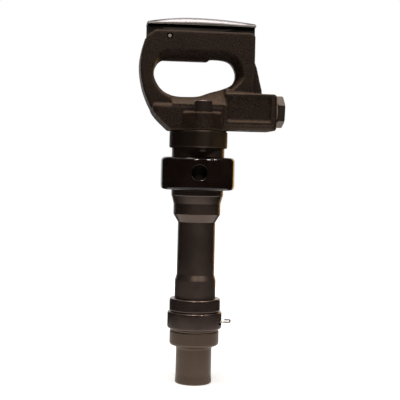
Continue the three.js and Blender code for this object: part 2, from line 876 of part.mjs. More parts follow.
// Handle casting
function handleOutline() {
  const shape = new THREE.Shape();
  const left = leftSideShares.map(([x, z]) => (
    new THREE.Vector2(-handleLeft * x, handleBottom + handleHeight * z)
  ));
  shape.moveTo(-handleLeft * handleFootLeftShare, handleBottom);
  shape.splineThru(left);
  shape.lineTo(-handleLeft * chamferShare, handleTop);
  shape.lineTo(handleRight - handleCorner, handleTop);
  shape.absarc(handleRight - handleCorner, handleTop - handleCorner, handleCorner, Math.PI / 2, 0, true);
  shape.lineTo(handleRight, blockBottom + blockEdge);
  shape.lineTo(handleRight * handleFootRightShare, blockBottom + blockEdge);
  shape.lineTo(handleRight * handleFootRightShare, handleBottom);
  return shape;
}

function openingPath() {
  const points = openingShares.map(([x, z]) => (
    new THREE.Vector3(openingWidth * x - openingLeft, openingBottom + openingHeight * z, 0)
  ));
  const curve = new THREE.CatmullRomCurve3(points, true);
  const path = new THREE.Path();
  const corners = curve.getPoints(openingShares.length * openingCurveSteps).slice(0, -1);
  path.setFromPoints(corners.map(({ x, y }) => new THREE.Vector2(x, y)));
  return path;
}

function rectangle(lowX, highX, lowZ, highZ, corner = 0) {
  const shape = new THREE.Shape();
  if (corner === 0) {
    return shape.setFromPoints([[lowX, lowZ], [highX, lowZ], [highX, highZ], [lowX, highZ]].map((p) => (
      new THREE.Vector2(...p)
    )));
  }
  shape.absarc(highX - corner, lowZ + corner, corner, -Math.PI / 2, 0, false);
  shape.absarc(highX - corner, highZ - corner, corner, 0, Math.PI / 2, false);
  shape.absarc(lowX + corner, highZ - corner, corner, Math.PI / 2, Math.PI, false);
  shape.absarc(lowX + corner, lowZ + corner, corner, Math.PI, 1.5 * Math.PI, false);
  return shape;
}

// The grip and legs: the outline, less the hand opening, whose edges are rounded by the plate it is in
function gripAndLegs() {
  const far = handleLeft + overrun;
  const plate = rectangle(-far, far, handleBottom - overrun, handleTop + overrun);
  plate.holes.push(openingPath());
  const roundingDepth = gripDepth / 2 - openingFlat + overrun;
  const around = slab(plate, gripDepth + 2 * overrun, openingRounding, roundingDepth, openingSteps);
  const lipStart = openingRounding + castingEdge - openingLeft;
  const lipEnd = lipStart + gripLipLength;
  const lip = rectangle(lipStart, lipEnd, openingTop - gripLip, openingTop + overrun, gripLipEdge);
  const body = solid(slab(handleOutline(), gripDepth, castingEdge)).intersect(solid(around));
  return body.add(solid(slab(lip, gripLipDepth)));
}

// The thicker lower boss: the same outline, kept inside a block with a rounded top and rounded corners
function lowerBoss() {
  const half = bossDepth / 2;
  const plan = rectangle(bossInset - handleLeft, blockStart + bossCorner + overrun, -half, half, bossCorner);
  const block = raised(plan, handleBottom - bossHeight, bossTop, bossRounding);
  return solid(slab(handleOutline(), bossDepth, castingEdge)).intersect(solid(block));
}

// The block round the air inlet: its body, a raised plate on the front, and the plate's sunk field
function inletBlock() {
  const half = blockDepth / 2;
  const face = half - plateStep;
  const shape = new THREE.Shape();
  shape.moveTo(blockStart, -face);
  shape.lineTo(blockEnd - blockCorner, -face);
  shape.absarc(blockEnd - blockCorner, blockCorner - face, blockCorner, -Math.PI / 2, 0, false);
  shape.absarc(blockEnd - blockCorner, half - blockCorner, blockCorner, 0, Math.PI / 2, false);
  shape.lineTo(blockStart, half);
  const plate = rectangle(blockStart, blockEnd - plateEndMargin,
    blockBottom + plateFootMargin, blockTop - plateMargin, panelRound);
  const raisedPlate = slab(plate, plateStep + plateSink).translate(0, (plateStep + plateSink) / 2 - half, 0);
  const panel = rectangle(blockStart + panelMargin, blockEnd - panelEndMargin,
    blockBottom + panelFootMargin, blockTop - panelMargin, panelDepth + panelRound);
  const cut = slab(panel, 2 * panelDepth, panelDepth, panelDepth * panelSlopeShare).translate(0, -half, 0);
  const body = solid(raised(shape, blockBottom, blockTop, blockEdge)).add(solid(raisedPlate));
  return body.subtract(solid(cut));
}

function web() {
  const points = webShares.map(([x, z]) => (
    new THREE.Vector2(handleRight + webReach * x, THREE.MathUtils.lerp(webFoot, webTop, z))
  ));
  const foot = new THREE.Vector2(handleRight - webSink, webFoot);
  const head = new THREE.Vector2(handleRight - webSink, webTop);
  return solid(slab(new THREE.Shape([foot, ...points, head]), webDepth, webEdge));
}

function handleCasting() {
  let body = gripAndLegs().add(lowerBoss()).add(inletBlock()).add(web());
  body = body.add(solid(raised(flangeOutline(), handleBottom, lobeTop, flangeEdge)));
  const ends = handleLeft + handleRight;
  const sealTop = channelFloor - sealDrop;
  const throttleRods = [
    rod(pushPinRadius + turnGap, outletTop - overrun, channelFloor + overrun),
    rod(pushPinRadius + turnGap + sealWidth + seatGap, sealTop - sealHeight - 2 * seatGap, sealTop),
    rod(outletRadius, seatTop - overrun, outletTop),
    rod(seatRadius + seatGap, throttleChamberTop - overrun, seatTop + seatGap),
    rod(throttleChamberRadius, blockBottom - overrun, throttleChamberTop),
    rod(plugHeadRadius + seatGap, blockBottom - overrun, plugShoulder),
  ];
  const cuts = [
    ...throttleRods.map((cut) => cut.translate(throttlePlace, 0, 0)),
    box(-ends, ends, -channelWidth / 2, channelWidth / 2, channelFloor, handleTop + overrun),
    drilling(pinRadius + seatGap, [-pinPlace, -gripDepth, leverPin], [-pinPlace, gripDepth, leverPin]),
    rod(spigotRadius + seatGap, handleBottom - overrun, socketTop, turnFacets),
    rod(airChamberRadius, socketTop - overrun, airChamberTop, turnFacets),
    drilling(passageRadius, [throttlePlace, 0, outletTop - passageRadius], [0, 0, socketTop + passageFoot]),
    drilling(inletPassage, [throttlePlace, 0, inletHeight], [blockEnd, 0, inletHeight]),
    drilling(inletBore + seatGap, [inletShoulder, 0, inletHeight], [blockEnd + overrun, 0, inletHeight]),
  ];
  for (const side of [-1, 1]) {
    const hole = rod(boltRadius + boltPlay, handleBottom - overrun, lobeTop + overrun);
    const face = rod(washerRadius + seatGap, washerBottom - seatGap, bossTop + overrun);
    cuts.push(hole.translate(0, side * lobePlace, 0), face.translate(0, side * lobePlace, 0));
  }
  for (const cut of cuts) body = body.subtract(solid(cut));
  return geometryOf(body);
}

// Throttle lever: a crown that is domed across and bowed along, over two skirts with ears for the pin
function leverHeight(share) {
  const left = share < leverPeakShare;
  const end = left ? leverLeftCrown : leverRightCrown;
  const run = left ? share / leverPeakShare : (1 - share) / (1 - leverPeakShare);
  return end + (leverCrown - end) * (1 - (1 - run) ** 2);
}

function throttleLever() {
  const sections = [];
  for (let step = 0; step <= leverSections; step += 1) {
    const share = step / leverSections;
    const x = -leverLeft + share * (leverLeft + leverRight);
    const section = [];
    for (let point = 0; point < leverArcPoints; point += 1) {
      const angle = (point / (leverArcPoints - 1)) * Math.PI;
      const height = leverBottom + leverHeight(share) * Math.sin(angle) ** leverDomePower;
      section.push(new THREE.Vector3(x, leverHalfWidth * Math.cos(angle), height));
    }
    sections.push(section);
  }
  let body = solid(loft(sections));
  for (const side of [-1, 1]) {
    const outer = (side * leverSkirtWidth) / 2;
    const inner = outer - side * leverSkirtWall;
    const low = Math.min(outer, inner);
    const high = Math.max(outer, inner);
    const end = leverRight - leverSkirtMargin;
    const skirt = box(-leverLeft, end, low, high, skirtFoot, leverBottom + leverSkirtSink);
    const ear = drilling(leverEar, [-pinPlace, low, leverPin], [-pinPlace, high, leverPin]);
    body = body.add(solid(skirt)).add(solid(ear));
  }
  const eye = [-gripDepth, gripDepth].map((y) => [-pinPlace, y, leverPin]);
  return geometryOf(body.subtract(solid(drilling(pinRadius + turnGap, ...eye))));
}

function leverPivotPin() {
  const half = gripDepth / 2 - pinRecess;
  return drilling(pinRadius, [-pinPlace, -half, leverPin], [-pinPlace, half, leverPin]);
}

// Throttle: the lever presses the push pin, and the pin opens the valve against its spring
function throttlePushPin() {
  return turned([
    [0, pushPinBottom],
    [pushPinRadius, pushPinBottom],
    [pushPinRadius, pushPinTop - pushPinEdge],
    [pushPinRadius - pushPinEdge, pushPinTop],
    [0, pushPinTop],
  ], rodFacets).translate(throttlePlace, 0, 0);
}

function pushPinSeal() {
  const inner = pushPinRadius + turnGap;
  const low = channelFloor - sealDrop - sealHeight - seatGap;
  return ring(inner + sealWidth, inner, low, low + sealHeight, 0, rodFacets).translate(throttlePlace, 0, 0);
}

function throttleValve() {
  return turned([
    [0, guideFoot + guideStemRoom],
    [guideStemRadius, guideFoot + guideStemRoom],
    [guideStemRadius, poppetBottom],
    [poppetRadius, poppetBottom],
    [poppetRadius, poppetTop - poppetCone],
    [poppetRadius - poppetCone / 2, poppetTop],
    [stemRadius, poppetTop],
    [stemRadius, stemTop],
    [0, stemTop],
  ], rodFacets).translate(throttlePlace, 0, 0);
}

function throttleValveSeat() {
  const seat = ring(seatRadius, seatBore, throttleChamberTop, seatTop, 0, rodFacets);
  return seat.translate(throttlePlace, 0, 0);
}

function throttlePlug() {
  const towerTop = plugTop + plugTowerHeight;
  const guide = guideStemRadius + turnGap;
  const body = solid(turned([
    [0, plugBottom],
    [plugHeadRadius, plugBottom],
    [plugHeadRadius, plugHeadTop],
    [throttleChamberRadius - seatGap, plugHeadTop],
    [throttleChamberRadius - seatGap, plugTop],
    [plugTower, plugTop],
    [plugTower, towerTop],
    [guide, towerTop],
    [guide, guideFoot],
    [0, guideFoot],
  ], rodFacets));
  const key = raised(polygon(plugKey, hexSides), plugBottom - overrun, plugBottom + plugKeyDepth);
  return geometryOf(body.subtract(solid(key)).translate([throttlePlace, 0, 0]));
}

function throttlePlugGasket() {
  const low = plugHeadTop + seatGap;
  const gasket = ring(plugHeadRadius, throttleChamberRadius, low, low + gasketHeight, 0, rodFacets);
  return gasket.translate(throttlePlace, 0, 0);
}

function throttleSpring() {
  const low = plugTop + springWire + seatGap;
  const high = poppetBottom - springWire - seatGap;
  const points = [];
  for (let step = 0; step <= springTurns * springTurnSteps; step += 1) {
    const turns = step / springTurnSteps;
    const angle = turns * tau;
    const height = THREE.MathUtils.lerp(low, high, turns / springTurns);
    points.push(new THREE.Vector3(springRadius * Math.cos(angle), springRadius * Math.sin(angle), height));
  }
  return bar(points, springWire, springSides).translate(throttlePlace, 0, 0);
}

// Air inlet, laid along +X
function alongX(geometry) {
  return geometry.rotateY(Math.PI / 2).translate(0, 0, inletHeight);
}

function inletBushing() {
  const corner = hexFlats / 2 / Math.cos(Math.PI / hexSides);
  const hexagon = solid(raised(polygon(corner, hexSides, hexTurn * radians), hexStart, hexEnd));
  const rounding = solid(turned([
    [0, hexStart],
    [corner - hexChamfer, hexStart],
    [corner, hexStart + hexChamfer],
    [corner, hexEnd - hexChamfer],
    [corner - hexChamfer, hexEnd],
    [0, hexEnd],
  ]));
  const thread = solid(rod(inletBore, hexStart - inletThread, hexStart + overrun));
  const throat = solid(rod(inletThroat, hexStart - inletThread - overrun, hexEnd + overrun));
  return alongX(geometryOf(hexagon.intersect(rounding).add(thread).subtract(throat)));
}

function inletGasket() {
  const inner = inletBore + seatGap;
  const outer = inner + inletGasketWidth;
  return alongX(ring(outer, inner, gasketPlace, gasketPlace + inletGasketHeight, 0, rodFacets));
}

function inletScreen() {
  const disc = new THREE.Shape().setFromPoints(polygon(inletBore, rodFacets).getPoints());
  for (let loop = 0; loop <= screenRings; loop += 1) {
    const count = Math.max(1, loop * hexSides);
    for (let hole = 0; hole < count; hole += 1) {
      const angle = (hole / count) * tau;
      const radius = loop * screenPitch;
      const place = new THREE.Vector2(radius * Math.cos(angle), radius * Math.sin(angle));
      const corners = polygon(screenPitch * screenHoleShare, hexSides).getPoints().map((corner) => corner.clone().add(place));
      disc.holes.push(new THREE.Path().setFromPoints(corners));
    }
  }
  return alongX(raised(disc, screenPlace, screenPlace + screenHeight));
}

// The hammer, piece by piece
const hammer = new THREE.Group();

function add(name, geometry, material) {
  const mesh = new THREE.Mesh(geometry, material);
  mesh.name = name;
  hammer.add(mesh);
}

add('handle_casting', handleCasting(), blackCasting());
add('throttle_lever', throttleLever(), blackedSteel());
add('lever_pivot_pin', leverPivotPin(), brightSteel());
add('throttle_push_pin', throttlePushPin(), hardSteel());
add('push_pin_seal', pushPinSeal(), sealRubber());
add('throttle_valve', throttleValve(), hardSteel());
add('throttle_valve_seat', throttleValveSeat(), brass());
add('throttle_spring', throttleSpring(), brightSteel());
add('throttle_plug', throttlePlug(), blackedSteel());
add('throttle_plug_gasket', throttlePlugGasket(), gasketFibre());
add('inlet_bushing', inletBushing(), blackedSteel());
add('inlet_gasket', inletGasket(), gasketFibre());
add('inlet_screen', inletScreen(), brass());
add('handle_bolt_front', handleBolt(-1), blackedSteel());
add('handle_bolt_rear', handleBolt(1), blackedSteel());
add('lock_washer_front', lockWasher(-1), hardSteel());
add('lock_washer_rear', lockWasher(1), hardSteel());
add('lock_ring', lockRing(), blackedSteel());
add('cylinder', cylinder(), blackedSteel());
add('valve_case_gasket', valveCaseGasket(), gasketFibre());
add('valve_case_upper', valveCaseUpper(), hardSteel());
add('distribution_valve', distributionValve(), hardSteel());
add('valve_case_lower', valveCaseLower(), hardSteel());
add('valve_dowel', valveDowel(), hardSteel());
add('piston', piston(), hardSteel());
add('chisel_bushing', chiselBushing(), hardSteel());
add('exhaust_deflector', exhaustDeflector(), blackRubber());
add('retainer_lock_ring', retainerLockRing(), blackedSteel());
add('retainer_collar', retainerCollar(), blackedSteel());
add('retainer_sleeve', retainerSleeve(), brownedSteel());
add('retainer_buffer', retainerBuffer(), sealRubber());
add('lock_wire', lockWire(), brightSteel());

hammer.position.x = (handleLeft - hexEnd) / 2;

export default hammer;
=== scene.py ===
# %% [markdown]
# # A pneumatic hammer, from its CAD frame to a photograph-like picture
#
# The object is a short-stroke rivet hammer that stands on its nose. Its construction is already packed as
# a frame of named nodes, in metres, with +Z up and the front of the D handle facing -Y. This lesson gives
# each visible node the surface that the real one has. Turned parts are spun again from their own sections,
# the handle is treated as a casting that is machined afterwards, and only hidden parts stay as they came.

# %% Load the frame
import json
import math

import bmesh
import bpy
import numpy as np
from mathutils import Matrix, Vector


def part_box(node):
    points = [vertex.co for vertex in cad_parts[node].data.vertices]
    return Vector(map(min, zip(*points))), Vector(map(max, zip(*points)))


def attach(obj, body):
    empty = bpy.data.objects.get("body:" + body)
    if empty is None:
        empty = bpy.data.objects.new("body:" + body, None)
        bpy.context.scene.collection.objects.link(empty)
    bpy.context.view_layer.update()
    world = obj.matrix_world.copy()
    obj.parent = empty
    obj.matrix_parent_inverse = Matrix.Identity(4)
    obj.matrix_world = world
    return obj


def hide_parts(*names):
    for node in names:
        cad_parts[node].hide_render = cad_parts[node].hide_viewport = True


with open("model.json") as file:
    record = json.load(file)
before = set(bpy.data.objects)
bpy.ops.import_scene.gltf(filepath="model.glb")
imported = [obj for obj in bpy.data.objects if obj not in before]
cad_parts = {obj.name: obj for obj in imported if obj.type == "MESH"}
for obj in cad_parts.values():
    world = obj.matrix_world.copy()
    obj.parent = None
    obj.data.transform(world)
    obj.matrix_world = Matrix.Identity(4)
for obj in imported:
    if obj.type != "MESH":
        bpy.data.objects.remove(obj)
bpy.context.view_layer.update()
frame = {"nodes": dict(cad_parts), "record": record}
nodes = frame["nodes"]
MM = 0.001


# %% [markdown]
# ## Where things are
#
# Places are read from the boxes of the nodes. The barrel's axis is the one line that most pieces share. The
# bolts and the throttle have axes of their own, and the air inlet lies along +X.

# %% Axes and heights from the frame
def middle(node):
    low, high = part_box(node)
    return (low + high) / 2


def radius_of(node):
    low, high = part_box(node)
    return (high.x - low.x) / 2


AXIS = middle("cylinder")
FRONT_BOLT = middle("handle_bolt_front")
REAR_BOLT = middle("handle_bolt_rear")
THROTTLE = middle("throttle_plug")
INLET = middle("inlet_bushing")
LEVER_PIN = middle("lever_pivot_pin")
BODIES = frame["record"]["behaviour"]["bodies"]
BODY_OF = {node: body for body, members in BODIES.items() for node in members}
SLOT_OF = {part["node"]: part["material_slot"] for part in frame["record"]["subparts"]}
print("barrel axis at x", round(AXIS.x, 4), "lever pin at", [round(v, 4) for v in LEVER_PIN])


# %% [markdown]
# ## The camera
#
# The photograph was taken from about 1.3 m with a longish lens, level with the middle of the barrel, and a
# few degrees to the left of square on. The object leans by a little more than a degree in the picture,
# which is a roll of the camera. The lens shift moves the object without tilting the camera, so upright
# lines stay parallel.

# %% Camera
CAMERA_DISTANCE = 1.3015
CAMERA_HEIGHT = 0.2946
CAMERA_YAW = math.radians(7.0)
CAMERA_ROLL = math.radians(1.3)
SENSOR = 36.0
FOCAL_SHARE = 950 / 400
PHOTO_SIZE = 400
HORIZON_ROW = 167
AXIS_COLUMN = 197.8

camera = bpy.data.objects.new("camera", bpy.data.cameras.new("camera"))
bpy.context.scene.collection.objects.link(camera)
bpy.context.scene.camera = camera
camera.data.sensor_width = SENSOR
camera.data.lens = SENSOR * FOCAL_SHARE
camera.data.shift_x = (PHOTO_SIZE / 2 - AXIS_COLUMN) / PHOTO_SIZE
camera.data.shift_y = (HORIZON_ROW - PHOTO_SIZE / 2) / PHOTO_SIZE
camera.location = (
    AXIS.x - CAMERA_DISTANCE * math.sin(CAMERA_YAW),
    -CAMERA_DISTANCE * math.cos(CAMERA_YAW),
    CAMERA_HEIGHT,
)
towards = Vector((math.sin(CAMERA_YAW), math.cos(CAMERA_YAW), 0))
level = towards.to_track_quat("-Z", "Y").to_matrix()
camera.rotation_euler = (level @ Matrix.Rotation(CAMERA_ROLL, 3, "Z")).to_euler()
print("camera at", [round(v, 3) for v in camera.location])


# %% [markdown]
# ## Reading a section
#
# A turned part is known by its half section: how far its surface is from the axis at each height. Slicing
# the node's own mesh with a half plane gives that section back as a closed outline. The slice runs midway
# between two facets, where the flat facet lies a little inside the true circle, and dividing by the cosine
# of half a facet's angle puts that right.

# %% Section of a turned node
NEAR = 0.001 * MM
LARGE_TURN = (36, 20)
SMALL_TURN = (20, 11)


def section(node, axis, turn=LARGE_TURN):
    """The node's half section as a closed list of (radius, height) about its upright axis.

    The turn says how many facets the frame gives such a piece, and which of them is sliced.
    """
    facets, slice_facet = turn
    mesh = bmesh.new()
    mesh.from_mesh(nodes[node].data)
    mesh.transform(Matrix.Translation(-Vector((axis.x, axis.y, 0))))
    bmesh.ops.remove_doubles(mesh, verts=mesh.verts, dist=NEAR)
    mesh.transform(Matrix.Rotation(-(slice_facet + 0.5) * math.tau / facets, 4, "Z"))
    geometry = mesh.verts[:] + mesh.edges[:] + mesh.faces[:]
    bmesh.ops.bisect_plane(
        mesh, geom=geometry, plane_co=(0, 0, 0), plane_no=(0, 1, 0), clear_inner=True, clear_outer=True
    )
    loop = longest_loop(mesh)
    mesh.free()
    stretch = 1 / math.cos(math.pi / facets)
    return [(x * stretch, z) for x, z in beyond_axis(loop)]


def in_order(vertex):
    """A sorting key from where a vertex is, so that every run of the script walks the same way."""
    return tuple(round(c / NEAR) for c in vertex.co)


def longest_loop(mesh):
    """The closed run of edges on the +X side that has the most points, as (x, z) pairs."""
    runs = []
    for start in sorted(mesh.verts, key=in_order):
        run = [start]
        while True:
            following = [e.other_vert(run[-1]) for e in run[-1].link_edges]
            following = [vertex for vertex in following if vertex not in run]
            if not following:
                break
            run.append(min(following, key=in_order))
        if any(e.other_vert(start) is run[-1] for e in start.link_edges):
            runs.append([(v.co.x, v.co.z) for v in run])
    fitting = [run for run in runs if max(x for x, _ in run) > 0]
    return max(fitting, key=lambda run: (len(run), round(sum(x for x, _ in run), 6)))


def beyond_axis(loop):
    """The part of a closed outline that lies at x above zero, closed along the axis where it was cut."""
    kept = []
    for (x0, z0), (x1, z1) in zip(loop, loop[1:] + loop[:1]):
        if x0 >= 0:
            kept.append((x0, z0))
        if x0 * x1 < 0:
            share = x0 / (x0 - x1)
            kept.append((0.0, z0 + share * (z1 - z0)))
    return kept


# %% [markdown]
# ## Nodes and meshes
#
# Every tree below, for a finish or for a shape, is a chain of nodes whose inputs are either plain numbers
# or the outputs of other nodes. One helper adds a node with both. Another runs a Geometry Nodes tree on an
# object and keeps the result as its mesh, which is how a tree's work becomes a plain piece.

# %% Nodes and plain meshes
def feed(tree, socket, value):
    """Gives an input a plain value or the output of another node."""
    if isinstance(value, bpy.types.NodeSocket):
        tree.links.new(value, socket)
    else:
        socket.default_value = value


def put(tree, kind, inputs=None, **options):
    """Adds a node, sets its options, and feeds its inputs."""
    made = tree.nodes.new(kind)
    for name, value in options.items():
        setattr(made, name, value)
    for key, value in (inputs or {}).items():
        feed(tree, made.inputs[key], value)
    return made


def new_object(name, mesh):
    made = bpy.data.objects.new(name, mesh)
    bpy.context.scene.collection.objects.link(made)
    return made


def made_plain(obj):
    """Swaps the object's mesh for the result of its modifiers, and takes the modifiers off."""
    graph = bpy.context.evaluated_depsgraph_get()
    mesh = bpy.data.meshes.new_from_object(obj.evaluated_get(graph))
    obj.modifiers.clear()
    obj.data = mesh
    return obj


def tidied(obj, sharp=30):
    """Merges doubles, drops what has no face, points the faces outwards, and shades between sharp edges."""
    mesh = bmesh.new()
    mesh.from_mesh(obj.data)
    bmesh.ops.remove_doubles(mesh, verts=mesh.verts, dist=2 * NEAR)
    bmesh.ops.dissolve_degenerate(mesh, edges=mesh.edges, dist=2 * NEAR)
    bmesh.ops.delete(mesh, geom=[edge for edge in mesh.edges if not edge.link_faces], context="EDGES")
    bmesh.ops.delete(mesh, geom=[vert for vert in mesh.verts if not vert.link_faces], context="VERTS")
    bmesh.ops.recalc_face_normals(mesh, faces=mesh.faces)
    mesh.to_mesh(obj.data)
    mesh.free()
    obj.data.shade_smooth()
    obj.data.set_sharp_from_angle(angle=math.radians(sharp))
    return obj


def new_tree(name, **inputs):
    """An empty tree that gives one piece, with the sockets of its named inputs."""
    tree = bpy.data.node_groups.new(name, "GeometryNodeTree")
    for key, kind in inputs.items():
        label = key.replace("_", " ").capitalize()
        tree.interface.new_socket(label, in_out="INPUT", socket_type="NodeSocket" + kind)
    tree.interface.new_socket("Piece", in_out="OUTPUT", socket_type="NodeSocketGeometry")
    return tree, tree.nodes.new("NodeGroupInput").outputs


def ended(tree, given, geometry):
    """Ends a tree with real geometry that wears its finish."""
    real = put(tree, "GeometryNodeRealizeInstances", {"Geometry": geometry})
    inputs = {"Geometry": real.outputs[0], "Material": given["Finish"]}
    put(tree, "NodeGroupOutput", {"Piece": put(tree, "GeometryNodeSetMaterial", inputs).outputs[0]})
    return tree


def grown(obj, tree, **values):
    """Runs a tree on the object, its inputs set through the identifiers of their sockets."""
    modifier = obj.modifiers.new(tree.name, "NODES")
    modifier.node_group = tree
    for socket in tree.interface.items_tree:
        key = socket.name.lower().replace(" ", "_")
        if socket.in_out == "INPUT" and key in values:
            modifier[socket.identifier] = values[key]
    return made_plain(obj)


# %% [markdown]
# ## Cutting
#
# Holes, slots and machined faces are cut with booleans, as a drill or a mill cuts them. The cutters are
# turned or boxed solids that run a little past the surface, so no two faces lie in one plane.

# %% Cutters
OVERRUN = 3 * MM
CUT_FACETS = 96
HOLE_FACETS = 48
SMALL_HOLE_FACETS = 32
HEXAGON = 6


def cut(obj, *cutters, keep="DIFFERENCE", solver="MANIFOLD"):
    """Cuts each cutter out of the object, or joins or keeps it, and throws the cutter away."""
    for cutter in cutters:
        modifier = obj.modifiers.new("cut", "BOOLEAN")
        modifier.operation = keep
        modifier.solver = solver
        modifier.object = cutter
        made_plain(obj)
        bpy.data.objects.remove(cutter)
    return obj


def solid_of(mesh, name="cutter"):
    data = bpy.data.meshes.new(name)
    bmesh.ops.recalc_face_normals(mesh, faces=mesh.faces)
    mesh.to_mesh(data)
    mesh.free()
    return new_object(name, data)


def spun(section_points, turn=None, facets=CUT_FACETS):
    """A solid spun about Z from (radius, height) pairs that start and end on the axis."""
    mesh = bmesh.new()
    rings = []
    for radius, height in section_points:
        if radius < NEAR:
            rings.append([mesh.verts.new((0, 0, height))])
            continue
        angles = [math.tau * i / facets for i in range(facets)]
        rings.append([mesh.verts.new((radius * math.cos(a), radius * math.sin(a), height)) for a in angles])
    for low, high in zip(rings, rings[1:]):
        for i in range(facets):
            j = (i + 1) % facets
            corners = [low[i % len(low)], low[j % len(low)], high[j % len(high)], high[i % len(high)]]
            mesh.faces.new(list(dict.fromkeys(corners)))
    if turn:
        mesh.transform(turn)
    return solid_of(mesh)


def rod(radius, low, high, turn=None, facets=CUT_FACETS):
    return spun([(0, low), (radius, low), (radius, high), (0, high)], turn, facets)


def block(low, high, edge=0.0, segments=2, chosen=lambda run: True, turn=Matrix.Identity(4)):
    """A box whose edges are rounded, or only those whose direction is chosen, moved by a turn."""
    mesh = bmesh.new()
    low, high = Vector(low), Vector(high)
    size = Matrix.Diagonal((high - low).to_4d())
    bmesh.ops.create_cube(mesh, size=1, matrix=Matrix.Translation((low + high) / 2) @ size)
    if edge:
        picked = [e for e in mesh.edges if chosen(e.verts[0].co - e.verts[1].co)]
        bmesh.ops.bevel(mesh, geom=picked, offset=edge, segments=segments, profile=0.5, affect="EDGES")
    mesh.transform(turn)
    return solid_of(mesh)


def at(place, direction="Z"):
    """Moves a cutter that was made about Z onto an axis through a place, along Z, X or Y."""
    lean = {
        "Z": Matrix.Identity(4),
        "X": Matrix.Rotation(math.pi / 2, 4, "Y"),
        "Y": Matrix.Rotation(-math.pi / 2, 4, "X"),
    }
    flat = {"Z": (place.x, place.y, 0), "X": (0, place.y, place.z), "Y": (place.x, 0, place.z)}
    return Matrix.Translation(flat[direction]) @ lean[direction]


# %% [markdown]
# ## Finishes
#
# The whole tool is dark, so its finishes differ by texture and gloss more than by colour. The casting has
# sandy paint that is rubbed brown on its edges. The turned parts are blacked over fine turning lines, the
# sleeve is a warmer brown, and the deflector is glossy rubber. Each finish is a function, and its patterns
# read object coordinates in metres, so a scale of 1000 means details of about a millimetre.

# %% Finish helpers
def finish(name, roughness, metallic=0.0, specular=0.5):
    material = bpy.data.materials.new(name)
    material.use_nodes = True
    tree = material.node_tree
    shader = tree.nodes["Principled BSDF"]
    shader.inputs["Roughness"].default_value = roughness
    shader.inputs["Metallic"].default_value = metallic
    shader.inputs["Specular IOR Level"].default_value = specular
    return material, tree, shader


def place_of(tree, stretch=(1, 1, 1)):
    """Object coordinates, stretched where a pattern runs longer one way than the other."""
    inputs = {"Vector": put(tree, "ShaderNodeTexCoord").outputs["Object"], "Scale": stretch}
    return put(tree, "ShaderNodeMapping", inputs).outputs[0]


def grain(tree, scale, place, detail=3.0, roughness=0.5):
    inputs = {"Vector": place, "Scale": scale, "Detail": detail, "Roughness": roughness}
    return put(tree, "ShaderNodeTexNoise", inputs).outputs["Fac"]


def ranged(tree, value, low, high, to_low=0.0, to_high=1.0):
    inputs = {"Value": value, "From Min": low, "From Max": high, "To Min": to_low, "To Max": to_high}
    return put(tree, "ShaderNodeMapRange", inputs).outputs["Result"]


def blended(tree, share, first, second):
    mix = put(tree, "ShaderNodeMix", data_type="RGBA")
    factor = [s for s in mix.inputs if s.type == "VALUE"][0]
    colours = [s for s in mix.inputs if s.type == "RGBA"]
    for socket, value in zip([factor, *colours], (share, first, second)):
        feed(tree, socket, value)
    return [s for s in mix.outputs if s.type == "RGBA"][0]


def combined(tree, operation, first, second=0.0):
    math_node = put(tree, "ShaderNodeMath", {0: first, 1: second}, operation=operation)
    return math_node.outputs[0]


def bumped(tree, shader, height, depth, strength=1.0, under=None):
    inputs = {"Height": height, "Distance": depth, "Strength": strength}
    if under is not None:
        inputs["Normal"] = under
    bump = put(tree, "ShaderNodeBump", inputs)
    tree.links.new(bump.outputs["Normal"], shader.inputs["Normal"])
    return bump.outputs["Normal"]


def stored(tree, name):
    """An attribute of the piece: how worn, dusted or polished each point is; the dusting and the polishing
    also paint light.
    """
    return put(tree, "ShaderNodeAttribute", attribute_name=name).outputs["Fac"]


def surfaced(tree, shader, colour, roughness):
    feed(tree, shader.inputs["Base Color"], colour)
    feed(tree, shader.inputs["Roughness"], roughness)


# %% [markdown]
# Each finish keeps its colours close together. The attributes read here, for wear, for grime with painted
# light, and for polishing with painted top light, are worked out for each piece further down. The steels
# come from two functions and two lists of their values.

# %% Finishes of the tool
AROUND_Z = (60, 60, 3200)
ALONG_X = (60, 900, 900)
FIBRE_WEAVE = (2600, 900, 2600)
PAINT_DARK, PAINT_LIGHT = (0.0085, 0.0046, 0.0029, 1), (0.0155, 0.009, 0.0062, 1)
PAINT_SPECK, PAINT_RUBBED = (0.075, 0.045, 0.03, 1), (0.1, 0.07, 0.052, 1)
# The next colour stands for grime and also paints light: top light on what faces up, a highlight along the
# grip's top edge, and the floor's reflection under the block.
DUST_AND_LIGHT_COLOUR = (0.105, 0.067, 0.044, 1)
BARE_EDGE = (0.2, 0.15, 0.12, 1)
CROWN_TINT = (0.5, 0.51, 0.56, 1)
LEVER_SIDE, LEVER_CROWNED, LEVER_BARE = (0.014, 0.011, 0.0095, 1), (0.3, 0.275, 0.28, 1), (0.4, 0.36, 0.33, 1)
FIBRE_DARK, FIBRE_LIGHT = (0.2, 0.16, 0.12, 1), (0.36, 0.3, 0.24, 1)
SPECK_SCALE, PIT_SCALE, SCRATCH_SCALE, FINE_SCALE = 760, 380, 900, 950
PIT_DEPTH = 0.5 * MM
SCRATCH_DEPTH = 0.02 * MM
RUB_DEPTH = 0.015 * MM
FLOW_DEPTH = 0.05 * MM
FLECK_DEPTH = 0.08 * MM


